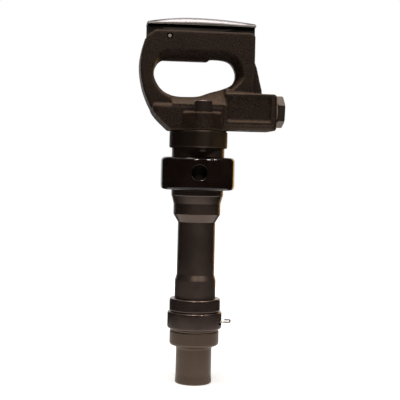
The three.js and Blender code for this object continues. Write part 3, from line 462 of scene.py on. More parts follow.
def cast_paint():
    """Black paint over a sand casting: grainy, rubbed to brown at the edges, dusted and painted lighter where
    it faces up, with a painted floor reflection where it faces down.
    """
    material, tree, shader = finish("black_casting", 0.58, 0.0, 0.16)
    place = place_of(tree)
    mottle = ranged(tree, grain(tree, 60, place, 4), 0.35, 0.65)
    plain = blended(tree, mottle, PAINT_DARK, PAINT_LIGHT)
    speck = ranged(tree, grain(tree, SPECK_SCALE, place, 2.0, 0.6), 0.46, 0.68)
    base = blended(tree, speck, plain, PAINT_SPECK)
    nicks = ranged(tree, grain(tree, 300, place, 3), 0.3, 0.55)
    rubbed = combined(tree, "MULTIPLY", stored(tree, "worn"), nicks)
    painted = blended(tree, rubbed, base, PAINT_RUBBED)
    patches = ranged(tree, grain(tree, 260, place, 3), 0.3, 0.6, 0.55, 1.0)
    # Grime and painted light in one colour: top light on what faces up, a highlight on the grip's top edge,
    # the floor's reflection below.
    dust_and_light_share = combined(tree, "MULTIPLY", stored(tree, "dust"), patches)
    colour = blended(tree, dust_and_light_share, painted, DUST_AND_LIGHT_COLOUR)
    surfaced(tree, shader, colour, ranged(tree, dust_and_light_share, 0, 1, 0.45, 0.8))
    pits = bumped(tree, shader, grain(tree, PIT_SCALE, place, 2.0), PIT_DEPTH, 0.7)
    bumped(tree, shader, grain(tree, FINE_SCALE, place, 2.5, 0.6), PIT_DEPTH, 1.0, pits)
    return material


def machined_steel(name, dark, light, roughness, line_depth=0.012):
    """Blacked steel with the fine lines that the cutting tool left, and thin bright edges."""
    material, tree, shader = finish(name, roughness, 0.75)
    place = place_of(tree)
    base = blended(tree, ranged(tree, grain(tree, 22, place, 3, 0.5), 0.3, 0.7), dark, light)
    nicks = ranged(tree, grain(tree, 140, place, 2), 0.2, 0.6, 0.5, 1.0)
    edges = combined(tree, "MULTIPLY", stored(tree, "worn"), nicks)
    smears = ranged(tree, grain(tree, 45, place, 2), 0.3, 0.7, roughness - 0.04, roughness + 0.05)
    surfaced(tree, shader, blended(tree, edges, base, BARE_EDGE), smears)
    bumped(tree, shader, grain(tree, 1, place_of(tree, AROUND_Z), 2.0), line_depth * MM, 0.5)
    return material


def bare_steel(name, colour, roughness):
    """Bright or ground steel: metal all through, with fine scratches and a slightly uneven gloss."""
    material, tree, shader = finish(name, roughness, 1.0)
    place = place_of(tree)
    darker = tuple(0.72 * c for c in colour[:3]) + (1,)
    shade = blended(tree, ranged(tree, grain(tree, 200, place, 3), 0.3, 0.7), darker, colour)
    gloss = ranged(tree, grain(tree, 350, place, 2), 0.3, 0.7, roughness - 0.06, roughness + 0.1)
    surfaced(tree, shader, shade, gloss)
    bumped(tree, shader, grain(tree, SCRATCH_SCALE, place, 2), SCRATCH_DEPTH, 0.5)
    return material


def lever_steel():
    """Blacked steel whose crown is polished by gloves and painted with top light: bright on top, dark down
    the sides.
    """
    material, tree, shader = finish("lever_steel", 0.4, 1.0)
    shader.inputs["Specular Tint"].default_value = CROWN_TINT
    patches = ranged(tree, grain(tree, 40, place_of(tree), 2), 0.3, 0.7, -0.08, 0.08)
    # The crown's brightness is polishing and painted light: lighter where the crown faces up, darker towards
    # its ends.
    share = ranged(tree, combined(tree, "ADD", stored(tree, "polish_and_painted_light"), patches), 0.1, 0.9)
    colour = blended(tree, share, LEVER_SIDE, LEVER_CROWNED)
    colour = blended(tree, stored(tree, "worn"), colour, LEVER_BARE)
    rubs = grain(tree, 1, place_of(tree, ALONG_X), 3.0)
    surfaced(tree, shader, colour, ranged(tree, rubs, 0.3, 0.7, 0.36, 0.5))
    bumped(tree, shader, rubs, RUB_DEPTH, 0.4)
    return material


def rubber(name, colour, roughness, specular):
    """Moulded rubber with faint flow marks, glossy where oil has wetted it."""
    material, tree, shader = finish(name, roughness, 0.0, specular)
    place = place_of(tree)
    lighter = tuple(2.2 * c for c in colour[:3]) + (1,)
    flow = blended(tree, ranged(tree, grain(tree, 40, place, 4), 0.3, 0.7), colour, lighter)
    smears = ranged(tree, grain(tree, 120, place, 3), 0.35, 0.65, roughness - 0.05, roughness + 0.09)
    surfaced(tree, shader, flow, smears)
    bumped(tree, shader, grain(tree, 260, place, 3), FLOW_DEPTH, 0.35)
    return material


def fibre():
    """Pressed gasket fibre: matt, with short flecks."""
    material, tree, shader = finish("gasket_fibre", 0.9)
    flecks = grain(tree, 1, place_of(tree, FIBRE_WEAVE), 3.0)
    colour = blended(tree, ranged(tree, flecks, 0.35, 0.65), FIBRE_DARK, FIBRE_LIGHT)
    surfaced(tree, shader, colour, 0.9)
    bumped(tree, shader, flecks, FLECK_DEPTH, 0.6)
    return material


STEELS = {
    "blacked_steel": ((0.082, 0.058, 0.049, 1), (0.102, 0.074, 0.062, 1), 0.34),
    "browned_steel": ((0.094, 0.064, 0.045, 1), (0.12, 0.083, 0.06, 1), 0.42),
    "ring_steel": ((0.085, 0.06, 0.052, 1), (0.105, 0.075, 0.065, 1), 0.2, 0.004),
    "flange_steel": ((0.042, 0.027, 0.019, 1), (0.054, 0.036, 0.026, 1), 0.5),
}
BARE_METALS = {
    "wire_steel": ((0.36, 0.31, 0.28, 1), 0.22),
    "pin_steel": ((0.56, 0.49, 0.43, 1), 0.6),
    "bright_steel": ((0.62, 0.58, 0.54, 1), 0.24),
    "hard_steel": ((0.34, 0.32, 0.3, 1), 0.3),
    "brass": ((0.55, 0.38, 0.15, 1), 0.32),
}
FINISHES = {
    "black_casting": cast_paint(),
    "lever_steel": lever_steel(),
    "deflector_rubber": rubber("deflector_rubber", (0.008, 0.0046, 0.0037, 1), 0.1, 0.34),
    "seal_rubber": rubber("seal_rubber", (0.02, 0.02, 0.02, 1), 0.55, 0.3),
    "gasket_fibre": fibre(),
}
FINISHES |= {name: machined_steel(name, *values) for name, values in STEELS.items()}
FINISHES |= {name: bare_steel(name, *values) for name, values in BARE_METALS.items()}
print("finishes:", ", ".join(FINISHES))


# %% [markdown]
# ## Worn edges
#
# Paint and blacking rub off where a surface turns outwards. How much each point of a mesh stands out from
# its neighbours is worked out here from the mesh itself and stored on it as an attribute, so that the
# finish follows the piece wherever it goes.

# %% How far each point stands out
def points_of(obj):
    places = np.empty(len(obj.data.vertices) * 3)
    obj.data.vertices.foreach_get("co", places)
    return places.reshape(-1, 3)


def normals_of(obj):
    normals = np.empty(len(obj.data.vertices) * 3)
    obj.data.vertex_normals.foreach_get("vector", normals)
    return normals.reshape(-1, 3)


def neighbours(obj):
    """The two ends of every edge, and how many edges meet at each point."""
    pairs = np.empty(len(obj.data.edges) * 2, dtype=np.int64)
    obj.data.edges.foreach_get("vertices", pairs)
    first, second = pairs.reshape(-1, 2).T
    return first, second, np.maximum(np.bincount(pairs, minlength=len(obj.data.vertices)), 1)


def mean_around(value, first, second, valence):
    count = len(value)
    return (np.bincount(first, value[second], count) + np.bincount(second, value[first], count)) / valence


def noted(obj, name, values):
    """Stores a value for each point on the mesh, where finishes and trees can read it."""
    layer = obj.data.attributes.get(name) or obj.data.attributes.new(name, "FLOAT", "POINT")
    layer.data.foreach_set("value", np.asarray(values, dtype=np.float32))
    return obj


def mark_worn(obj, reach=3, gain=6.0):
    places, normals = points_of(obj), normals_of(obj)
    first, second, valence = neighbours(obj)
    count = len(places)
    along = places[second] - places[first]
    length = np.maximum(np.linalg.norm(along, axis=1), 10 * NEAR)
    outward = -np.bincount(first, (along * normals[first]).sum(1) / length, count)
    outward += np.bincount(second, (along * normals[second]).sum(1) / length, count)
    standing = outward / valence
    for _ in range(reach):
        standing = (standing + mean_around(standing, first, second, valence)) / 2
    return noted(obj, "worn", np.clip(standing * gain, 0, 1))


def dressed(obj, node, look=None):
    """Gives a finished piece its material and its body, and hides the CAD node that it stands for."""
    slot = SLOT_OF[node]
    obj.data.materials.clear()
    obj.data.materials.append(FINISHES[look or slot])
    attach(obj, BODY_OF[node])
    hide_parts(node)
    print(obj.name, len(obj.data.polygons), "faces on", BODY_OF[node])
    return obj


# %% [markdown]
# ## Turned pieces
#
# Most of the tool came off a lathe. A Geometry Nodes tree does the same: it takes a half section, gives
# each corner the fillet stored on it, and spins the points about the axis. The spin is a flat grid whose
# points are sent to their places, because a grid already has its faces in the right order. The joint is
# closed by merging the points that meet.

# %% The tree that spins a section
def turned_tree():
    tree, given = new_tree(
        "turned piece", section="Geometry", facets="Int", edge_steps="Int", axis="Vector", finish="Material"
    )
    rounding = put(tree, "GeometryNodeInputNamedAttribute", {"Name": "rounding"}, data_type="FLOAT")
    outline = put(tree, "GeometryNodeMeshToCurve", {"Mesh": given["Section"]})
    fillet_inputs = {
        "Curve": outline.outputs["Curve"],
        "Radius": rounding.outputs["Attribute"],
        "Limit Radius": True,
        "Count": given["Edge steps"],
    }
    fillet = put(tree, "GeometryNodeFilletCurve", fillet_inputs, mode="POLY")
    points = put(tree, "GeometryNodeCurveToPoints", {"Curve": fillet.outputs["Curve"]}, mode="EVALUATED")
    size_inputs = {"Geometry": points.outputs["Points"]}
    size = put(tree, "GeometryNodeAttributeDomainSize", size_inputs, component="POINTCLOUD")
    count = size.outputs["Point Count"]
    grid_inputs = {
        "Size X": 1.0,
        "Size Y": 1.0,
        "Vertices X": combined(tree, "ADD", count, 1.0),
        "Vertices Y": combined(tree, "ADD", given["Facets"], 1.0),
    }
    grid = put(tree, "GeometryNodeMeshGrid", grid_inputs)
    place = put(tree, "GeometryNodeInputPosition").outputs[0]
    split = put(tree, "ShaderNodeSeparateXYZ", {"Vector": place}).outputs
    step = combined(tree, "MULTIPLY", combined(tree, "ADD", split["X"], 0.5), count)
    index = combined(tree, "MODULO", combined(tree, "ROUND", step), count)
    angle = combined(tree, "MULTIPLY", combined(tree, "ADD", split["Y"], 0.5), math.tau)
    sample_inputs = {"Geometry": points.outputs["Points"], "Value": place, "Index": index}
    picked = put(
        tree, "GeometryNodeSampleIndex", sample_inputs, data_type="FLOAT_VECTOR", domain="POINT"
    )
    section_point = put(tree, "ShaderNodeSeparateXYZ", {"Vector": picked.outputs["Value"]}).outputs
    x = combined(tree, "MULTIPLY", section_point["X"], combined(tree, "COSINE", angle))
    y = combined(tree, "MULTIPLY", section_point["X"], combined(tree, "SINE", angle))
    round_axis = put(tree, "ShaderNodeCombineXYZ", {"X": x, "Y": y, "Z": section_point["Z"]}).outputs[0]
    moved = put(tree, "ShaderNodeVectorMath", {0: round_axis, 1: given["Axis"]}, operation="ADD").outputs[0]
    spin = put(tree, "GeometryNodeSetPosition", {"Geometry": grid.outputs["Mesh"], "Position": moved})
    closed = put(tree, "GeometryNodeMergeByDistance", {"Geometry": spin.outputs[0], "Distance": NEAR})
    return ended(tree, given, closed.outputs[0])


TURNED = turned_tree()
print("turning tree:", len(TURNED.nodes), "nodes")


# %% [markdown]
# The fillet of each corner follows from the section. The frame draws a rounded edge with a few gentle bends
# beside short steps, and those are melted into one smooth curve. Any other corner is a real edge of the
# piece, which gets the small radius that a lathe hand breaks an edge with.

# %% From a section to a turned piece
EDGE = 0.4 * MM
EDGE_STEPS = 3
FACETS = 144
SMALL_FACETS = 96
GENTLE_BEND = math.radians(40)
STRAIGHT = math.radians(1.5)
SHORT_STEP = 3.2 * MM
MELT = 20 * MM
SUPPORT = 1.1 * MM


def around_corner(points, i):
    """The straight runs before and after a corner of a closed section, and the bend between them."""
    point = Vector(points[i])
    before = point - Vector(points[i - 1])
    after = Vector(points[(i + 1) % len(points)]) - point
    return before, after, before.angle(after, 0.0)


def roundings(points, edge):
    """The fillet radius of each corner of a closed section."""
    radii = []
    for i, (radius, _) in enumerate(points):
        before, after, bend = around_corner(points, i)
        gentle = bend < GENTLE_BEND and min(before.length, after.length) < SHORT_STEP
        radii.append(0.0 if radius < 10 * NEAR else MELT if gentle else edge)
    return radii


def simplified(points):
    """A section without doubled points and without points in the middle of a straight run."""
    apart = [p for i, p in enumerate(points) if (Vector(p) - Vector(points[i - 1])).length > 20 * NEAR]
    return [point for i, point in enumerate(apart) if around_corner(apart, i)[2] > STRAIGHT]


def supported(points, radii):
    """Adds points near the ends and in the middle of each long run, so that wear keeps to the edges."""
    kept_points, kept_radii = [], []
    for i, point in enumerate(points):
        following = Vector(points[(i + 1) % len(points)])
        kept_points.append(point)
        kept_radii.append(radii[i])
        run = (following - Vector(point)).length
        if run > 3 * SUPPORT:
            for share in (SUPPORT / run, 0.5, 1 - SUPPORT / run):
                kept_points.append(tuple(Vector(point).lerp(following, share)))
                kept_radii.append(0.0)
    return kept_points, kept_radii


def turned(name, points, axis, slot, edge=EDGE, facets=FACETS):
    points = simplified(points)
    points, radii = supported(points, roundings(points, edge))
    mesh = bpy.data.meshes.new(name)
    edges = [(i, (i + 1) % len(points)) for i in range(len(points))]
    mesh.from_pydata([(radius, 0, height) for radius, height in points], edges, [])
    made = noted(new_object(name, mesh), "rounding", radii)
    counts = {"facets": facets, "edge_steps": EDGE_STEPS}
    return tidied(grown(made, TURNED, **counts, axis=(axis.x, axis.y, 0.0), finish=FINISHES[slot]))


# %% [markdown]
# ## The cylinder
#
# One long turned piece shows below the deflector: a dark groove, a short taper, a black band, a cone, the
# barrel, and the thicker foot that disappears into the retainer. The exhaust ports under the deflector are
# drilled as the real ones are.

# %% Cylinder
PORT_COUNT = 4
PORT_RADIUS = 4.5 * MM
PORT_REACH = 40 * MM
DEFLECTOR = middle("exhaust_deflector")

cylinder = turned("cylinder_turned", section("cylinder", AXIS), AXIS, "blacked_steel")
for port in range(PORT_COUNT):
    angle = (port + 0.5) / PORT_COUNT * math.tau
    facing = Matrix.Translation(DEFLECTOR) @ Matrix.Rotation(angle, 4, "Z")
    lean = facing @ Matrix.Rotation(math.pi / 2, 4, "Y")
    cut(cylinder, rod(PORT_RADIUS, 0, PORT_REACH, lean, SMALL_HOLE_FACETS))
dressed(mark_worn(tidied(cylinder)), "cylinder")


# %% [markdown]
# ## The exhaust deflector
#
# A thick rubber ring turns freely over the ports and blows the exhaust out of one round hole. It is the
# glossiest thing on the tool. Its hole has a soft moulded lip, so the cutter flares at its mouth, and the
# flare is bent to the ring's own curve so that the lip is even all round. A fine line round the ring is
# where the two halves of its mould met.

# %% Deflector
HOLE_RADIUS = 10.3 * MM
HOLE_RISE = 1.5 * MM
HOLE_TURN = math.radians(-4.3)
LIP = 1.1 * MM
LIP_STEPS = 6
SEAM_DROP = 9.5 * MM
SEAM_HEIGHT = 0.12 * MM
SEAM_WIDTH = 0.5 * MM

deflector_radius = radius_of("exhaust_deflector")
seam = DEFLECTOR.z - SEAM_DROP


def with_seam(points):
    """Adds the mould's line to the outside of the section, which runs upwards there."""
    added = []
    for i, point in enumerate(points):
        following = points[(i + 1) % len(points)]
        added.append(point)
        outermost = min(point[0], following[0]) > deflector_radius - 0.1 * MM
        if outermost and abs(point[1] - following[1]) > SHORT_STEP:
            heights = [seam - SEAM_WIDTH, seam, seam + SEAM_WIDTH]
            if following[1] < point[1]:
                heights.reverse()
            added += [(point[0] + (SEAM_HEIGHT if z == seam else 0), z) for z in heights]
    return added


def hole_cutter():
    """A drill along -Y whose mouth flares, bent to the curve of the ring that it leaves."""
    reach = deflector_radius
    flare = [(HOLE_RADIUS, 0), (HOLE_RADIUS, reach - LIP)]
    for step in range(1, LIP_STEPS + 1):
        turn = step / LIP_STEPS * math.pi / 2
        flare.append((HOLE_RADIUS + LIP * (1 - math.cos(turn)), reach - LIP + LIP * math.sin(turn)))
    flare.append((HOLE_RADIUS + LIP, reach + OVERRUN))
    cutter = spun([(0, 0), *flare, (0, reach + OVERRUN)])
    for vertex in cutter.data.vertices:
        if vertex.co.z > reach / 2:
            vertex.co.z -= reach - math.sqrt(reach ** 2 - vertex.co.x ** 2)
    lean = Matrix.Rotation(HOLE_TURN, 4, "Z") @ Matrix.Rotation(math.pi / 2, 4, "X")
    centre = Vector((AXIS.x, AXIS.y, DEFLECTOR.z + HOLE_RISE))
    cutter.data.transform(Matrix.Translation(centre) @ lean)
    return cutter


deflector_section = with_seam(simplified(section("exhaust_deflector", AXIS)))
deflector = turned("deflector_rubber", deflector_section, AXIS, "deflector_rubber")
cut(deflector, hole_cutter())
dressed(mark_worn(tidied(deflector, sharp=35)), "exhaust_deflector")


# %% [markdown]
# ## The retainer
#
# Three rings hold the chisel's sleeve on the barrel. The sleeve and its tail are one long brown piece, the
# collar round its skirt has a slot for the end of the lock wire, and the black ring above is screwed on.
# The slot is cut through the collar and the skirt together, so its walls line up.

# %% Retainer rings and sleeve
SLOT_WIDTH = 15 * MM
SLOT_HEIGHT = 6.3 * MM
SLOT_TURN = math.radians(-23)
SLOT_CORNER = 1.2 * MM
SLOT_LIFT = 1.6 * MM
SLOT_OUT = 1.28
RING_EDGE = 2.4 * MM
WIRE_RISE = 7.6 * MM

wire_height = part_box("retainer_collar")[0].z + WIRE_RISE
collar_radius = radius_of("retainer_collar")


def slot_cutter():
    """The wire's slot as a bar along +X with rounded corners, turned to its place."""
    half = Vector((collar_radius, SLOT_WIDTH, SLOT_HEIGHT)) / 2
    lift = Matrix.Translation((AXIS.x, AXIS.y, wire_height + SLOT_LIFT))
    turn = lift @ Matrix.Rotation(SLOT_TURN, 4, "Z") @ Matrix.Translation((collar_radius * SLOT_OUT, 0, 0))
    return block(-half, half, SLOT_CORNER, 4, lambda run: abs(run.x) > MM, turn)


sleeve = turned("sleeve_turned", section("retainer_sleeve", AXIS), AXIS, "browned_steel")
dressed(mark_worn(tidied(cut(sleeve, slot_cutter()))), "retainer_sleeve")
collar = turned("collar_turned", section("retainer_collar", AXIS), AXIS, "ring_steel", RING_EDGE)
dressed(mark_worn(tidied(cut(collar, slot_cutter())), gain=2), "retainer_collar", "ring_steel")
black_ring = turned("lock_ring_turned", section("retainer_lock_ring", AXIS), AXIS, "ring_steel", RING_EDGE)
dressed(mark_worn(black_ring, gain=2), "retainer_lock_ring", "ring_steel")
for node, name in (("retainer_buffer", "buffer_moulded"), ("chisel_bushing", "bushing_ground")):
    inner = turned(name, section(node, AXIS, SMALL_TURN), AXIS, SLOT_OF[node])
    dressed(mark_worn(inner), node)


# %% [markdown]
# ## The lock wire
#
# A springy bright wire lies in the groove between the barrel and the skirt, bends out through the slot and
# ends in a small loop for a finger. Its path is a short list of arcs, and Geometry Nodes sweep a round
# section along it, which keeps its thickness even round the tightest bend.

# %% Lock wire
WIRE_RADIUS = 1.2 * MM
WIRE_GRIP = 0.2 * MM
WIRE_ARC = math.radians(285)
WIRE_LEAD = math.radians(12)
WIRE_REACH = 11 * MM
WIRE_LIFT = 3.6 * MM
WIRE_BEND = 1.9 * MM
WIRE_RETURN = 6 * MM
WIRE_STEPS = 96
BEND_STEPS = 12
WIRE_SIDES = 16
FOOT_RADIUS = 27.8 * MM


def wire_path():
    centre = FOOT_RADIUS + WIRE_GRIP
    leave = SLOT_TURN - WIRE_LEAD

    def around(radius, angle, drop=0.0):
        x, y = AXIS.x + radius * math.cos(angle), AXIS.y + radius * math.sin(angle)
        return Vector((x, y, wire_height - drop))

    path = [around(centre, leave - WIRE_ARC * (1 - step / WIRE_STEPS)) for step in range(WIRE_STEPS + 1)]
    start, corner = path[-1], around(centre / math.cos(WIRE_LEAD), SLOT_TURN)
    out = around(collar_radius, SLOT_TURN, WIRE_BEND / 2 - WIRE_LIFT)
    for step in range(1, BEND_STEPS + 1):
        t = step / BEND_STEPS
        path.append((1 - t) ** 2 * start + 2 * t * (1 - t) * corner + t ** 2 * out)
    end = around(collar_radius, SLOT_TURN, -WIRE_LIFT) + Vector((WIRE_REACH, 0, 0))
    for step in range(BEND_STEPS + 1):
        angle = (step / BEND_STEPS - 0.5) * math.pi
        path.append(end + WIRE_BEND * Vector((math.cos(angle), 0, math.sin(angle))))
    path.append(end + Vector((-WIRE_RETURN, 0, WIRE_BEND)))
    return path


def wire_tree():
    tree, given = new_tree("swept wire", path="Geometry", radius="Float", sides="Int", finish="Material")
    line = put(tree, "GeometryNodeMeshToCurve", {"Mesh": given["Path"]})
    ring_inputs = {"Resolution": given["Sides"], "Radius": given["Radius"]}
    ring = put(tree, "GeometryNodeCurvePrimitiveCircle", ring_inputs, mode="RADIUS")
    swept_inputs = {"Curve": line.outputs["Curve"], "Profile Curve": ring.outputs["Curve"]}
    swept = put(tree, "GeometryNodeCurveToMesh", {**swept_inputs, "Fill Caps": True})
    return ended(tree, given, swept.outputs["Mesh"])


path = wire_path()
wire_mesh = bpy.data.meshes.new("lock_wire_bent")
wire_mesh.from_pydata(path, [(i, i + 1) for i in range(len(path) - 1)], [])
wire = new_object("lock_wire_bent", wire_mesh)
grown(wire, wire_tree(), radius=WIRE_RADIUS, sides=WIRE_SIDES, finish=FINISHES["wire_steel"])
dressed(tidied(wire, sharp=40), "lock_wire", "wire_steel")


# %% [markdown]
# ## Bolts and plug
#
# The two bolts and the plug under the throttle are turned, and a hexagonal key socket is cut into each. The
# sliced section shows that socket as a step, which is taken out before the piece is spun.

# %% Bolts, washers and plug
BOLT_KEY = 7.3 * MM
BOLT_KEY_DEPTH = 8 * MM
PLUG_KEY = 5 * MM
PLUG_KEY_DEPTH = 4.5 * MM
KEY_MARGIN = 1.02
BOLT_EDGE = 0.6 * MM
WASHER_EDGE = 0.2 * MM


def without_socket(points, radius, low, high, end):
    """The section with its key socket filled: points inside the radius between the heights become one."""
    kept = []
    for r, z in points:
        if r >= radius * KEY_MARGIN or not low < z < high:
            kept.append((r, z))
        elif (0.0, end) not in kept:
            kept.append((0.0, end))
    return kept


for node, place in (("handle_bolt_front", FRONT_BOLT), ("handle_bolt_rear", REAR_BOLT)):
    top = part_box(node)[1].z
    points = section(node, place, SMALL_TURN)
    points = without_socket(points, BOLT_KEY, top - BOLT_KEY_DEPTH - MM, top + MM, top)
    bolt = turned(node + "_turned", points, place, "blacked_steel", BOLT_EDGE, SMALL_FACETS)
    cut(bolt, rod(BOLT_KEY, top - BOLT_KEY_DEPTH, top + OVERRUN, at(place), HEXAGON), solver="EXACT")
    dressed(mark_worn(tidied(bolt), reach=1, gain=2), node)
for node, place in (("lock_washer_front", FRONT_BOLT), ("lock_washer_rear", REAR_BOLT)):
    points = section(node, place, SMALL_TURN)
    washer = turned(node + "_turned", points, place, "hard_steel", WASHER_EDGE, SMALL_FACETS)
    dressed(mark_worn(washer), node)

plug_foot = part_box("throttle_plug")[0].z
socket_top = plug_foot + PLUG_KEY_DEPTH
plug_section = section("throttle_plug", THROTTLE, SMALL_TURN)
plug_section = without_socket(plug_section, PLUG_KEY, plug_foot - MM, socket_top + 0.5 * MM, plug_foot)
plug = turned("plug_turned", plug_section, THROTTLE, "blacked_steel", facets=SMALL_FACETS)
cut(plug, rod(PLUG_KEY, plug_foot - OVERRUN, socket_top, at(THROTTLE), HEXAGON), solver="EXACT")
dressed(mark_worn(tidied(plug)), "throttle_plug")


# %% [markdown]
# ## Lofts
#
# Some pieces are not round but still follow one outline that swells and shrinks. A loft joins a row of
# outlines with the same number of points, and the lists of insets below are the rounded edges.

# %% Loft helper
def lofted(name, rings):
    """A closed solid through a row of outlines, capped at both ends."""
    mesh = bmesh.new()
    made = [[mesh.verts.new(point) for point in ring] for ring in rings]
    count = len(made[0])
    for low, high in zip(made, made[1:]):
        for i in range(count):
            j = (i + 1) % count
            mesh.faces.new((low[i], low[j], high[j], high[i]))
    mesh.faces.new(made[0])
    mesh.faces.new(made[-1])
    return solid_of(mesh, name)


def rounded_edge(radius, steps, start=0.0, side=1):
    """(inset, distance) pairs of a quarter round, from the inset end face out to the full outline."""
    turns = [step / steps * math.pi / 2 for step in range(steps + 1)]
    return [(radius * (1 - math.sin(t)), start + side * radius * (1 - math.cos(t))) for t in turns]


# %% [markdown]
# ## The two-lobed lock ring
#
# The ring that clamps the handle has a lobe at the front and one at the back for the bolts. Its outline is
# two small circles and one large, joined by their common tangents, so an inset only makes the radii
# smaller.

# %% Lock ring
LOCK_EDGE = 2.2 * MM
LOCK_GUARD = 1.2 * MM
LOCK_STEPS = 5
BOLT_HOLE = 8.2 * MM
SPIGOT_HOLE = 34.3 * MM
ARC_STEPS = 48

ring_low, ring_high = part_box("lock_ring")
flange_radius = radius_of("lock_ring")
lobe_place = REAR_BOLT.y - AXIS.y
lobe_radius = ring_high.y - REAR_BOLT.y


def two_lobed(inset, z):
    lean = math.asin((flange_radius - lobe_radius) / lobe_place)
    arcs = [
        (0, flange_radius, -lean, lean),
        (lobe_place, lobe_radius, lean, math.pi - lean),
        (0, flange_radius, math.pi - lean, math.pi + lean),
        (-lobe_place, lobe_radius, math.pi + lean, math.tau - lean),
    ]
    outline = []
    for y, radius, start, end in arcs:
        for step in range(ARC_STEPS + 1):
            angle = start + (end - start) * step / ARC_STEPS
            r = radius - inset
            outline.append(Vector((AXIS.x + r * math.cos(angle), AXIS.y + y + r * math.sin(angle), z)))
    return outline


foot_edge = rounded_edge(LOCK_EDGE, LOCK_STEPS, ring_low.z)
head_edge = rounded_edge(LOCK_EDGE, LOCK_STEPS, ring_high.z, -1)[::-1]
guards = [(0, ring_low.z + LOCK_EDGE + LOCK_GUARD), (0, ring_high.z - LOCK_EDGE - LOCK_GUARD)]
lock_ring = lofted("lock_ring_milled", [two_lobed(inset, z) for inset, z in foot_edge + guards + head_edge])
under, over = ring_low.z - OVERRUN, ring_high.z + OVERRUN
cut(lock_ring, rod(SPIGOT_HOLE, under, over, at(AXIS)))
for place in (FRONT_BOLT, REAR_BOLT):
    cut(lock_ring, rod(BOLT_HOLE, under, over, at(place), HOLE_FACETS))
dressed(mark_worn(tidied(lock_ring), reach=1, gain=2), "lock_ring", "flange_steel")


# %% [markdown]
# ## The air inlet
#
# The bushing is a hexagon whose corners are turned to a slope at both ends, on a long threaded shank. A
# hexagonal bar and a turned disc meet in one boolean, which leaves the curved edge lines that every nut
# has.

# %% Inlet bushing
HEX_FLATS = 38 * MM
HEX_HEIGHT = 9.9 * MM
HEX_TURN = math.radians(8)
HEX_SLOPE = 1.4 * MM
HEX_FALL = 0.825 * HEX_SLOPE
SHANK_RADIUS = 16.5 * MM
THROAT_RADIUS = 9.5 * MM
THROAT_EDGE = 1.2 * MM

inlet_low, inlet_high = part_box("inlet_bushing")
hex_start = inlet_high.x - HEX_HEIGHT
corner = HEX_FLATS / 2 / math.cos(math.pi / 6)
along_inlet = at(INLET, "X")
hexagon = rod(corner, hex_start, inlet_high.x, along_inlet @ Matrix.Rotation(HEX_TURN, 4, "Z"), HEXAGON)
turned_disc = [
    (0, hex_start),
    (corner - HEX_SLOPE, hex_start),
    (corner + HEX_SLOPE / 2, hex_start + HEX_FALL),
    (corner + HEX_SLOPE / 2, inlet_high.x - HEX_FALL),
    (corner - HEX_SLOPE, inlet_high.x),
    (0, inlet_high.x),
]
bushing_hex = cut(hexagon, spun(turned_disc, along_inlet, FACETS), keep="INTERSECT")
cut(bushing_hex, rod(SHANK_RADIUS, inlet_low.x, hex_start + OVERRUN, along_inlet), keep="UNION")
mouth = THROAT_RADIUS + THROAT_EDGE
throat = [
    (0, inlet_low.x - OVERRUN),
    (THROAT_RADIUS, inlet_low.x - OVERRUN),
    (THROAT_RADIUS, inlet_high.x - THROAT_EDGE),
    (mouth, inlet_high.x),
    (mouth, inlet_high.x + OVERRUN),
    (0, inlet_high.x + OVERRUN),
]
cut(bushing_hex, spun(throat, along_inlet))
bushing_hex.name = "inlet_bushing_milled"
dressed(mark_worn(tidied(bushing_hex, sharp=20), reach=0, gain=2), "inlet_bushing")


# %% [markdown]
# ## The handle, cast and then machined
#
# The handle is a sand casting, so nothing on it is sharp except where it was machined afterwards. The
# frame's casting has the right shape but crisp edges. Its machined openings are first plugged, then the
# whole body is remade from small even cells, which melts its parts into one skin. The skin is smoothed,
# most of all round the hand opening, and a Geometry Nodes tree gives it the unevenness of the sand. Last,
# the machined faces are cut again into the finished skin.

# %% Casting skin
CELL = 1.0 * MM
handle_low, handle_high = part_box("handle_casting")
GRIP_HALF = 21 * MM
BOSS_TOP = 378.6 * MM
LOBE_TOP = 367.9 * MM
PIN_HOLE = 4.3 * MM
SPOT_FACE = 12.95 * MM
SPOT_FLOOR = 364.2 * MM
CHANNEL_HALF = 15.3 * MM
CHANNEL_FLOOR = 461.1 * MM
PLUG_HAIR = 0.05 * MM
PLUG_BACK = 2.2 * MM
INLET_BORE = 16.8 * MM
INLET_SHOULDER = THROTTLE.x + 22.6 * MM
PLUG_POCKET = 15.3 * MM
PLUG_SHOULDER = 351.2 * MM
POCKET_HALF = 26 * MM
POCKET_FACE = 27.5 * MM
POCKET_TOP = 375.6 * MM
POCKET_DEPTH = 40 * MM
POCKET_RISE = 0.3 * MM
POCKET_CORNER = 3.4 * MM
BOSS_HALF = 33 * MM
SILL_LEFT = -40 * MM
SILL_RIGHT = 33 * MM
SILL_STEPS = 24
SILL_FLAT = 6 * MM
SILL_INSET = 0.4 * MM
SILL_SINK = 0.5 * MM
SILL_EDGE = [
    (-50.4 * MM, 396.4 * MM), (-36.8 * MM, 390.6 * MM), (-18.8 * MM, 389.6 * MM), (-1.9 * MM, 390.9 * MM),
    (12.8 * MM, 396.1 * MM), (30.9 * MM, 401.6 * MM), (45 * MM, 408.8 * MM),
]
BLOCK_END = AXIS.x + 104 * MM
BLOCK_TOP = 395.6 * MM
BLOCK_FOOT = 345.6 * MM
PLATE_FACE = -34 * MM
PLATE_LEFT = AXIS.x + 30 * MM
PLATE_TOP = BLOCK_TOP - 1.6 * MM
PLATE_FOOT = BLOCK_FOOT + 6.5 * MM
PLATE_END = BLOCK_END - 5.5 * MM
PLATE_STEP = 2.6 * MM
PLATE_DEPTH = 12 * MM
PLATE_ARC = 8
PANEL_MOUTH = (PLATE_LEFT + 4 * MM, PLATE_END - 4.5 * MM, PLATE_FOOT + 4.5 * MM, PLATE_TOP - 2.4 * MM)
PANEL_WALLS = (2 * MM, -3.4 * MM, 3.2 * MM, -5.6 * MM)
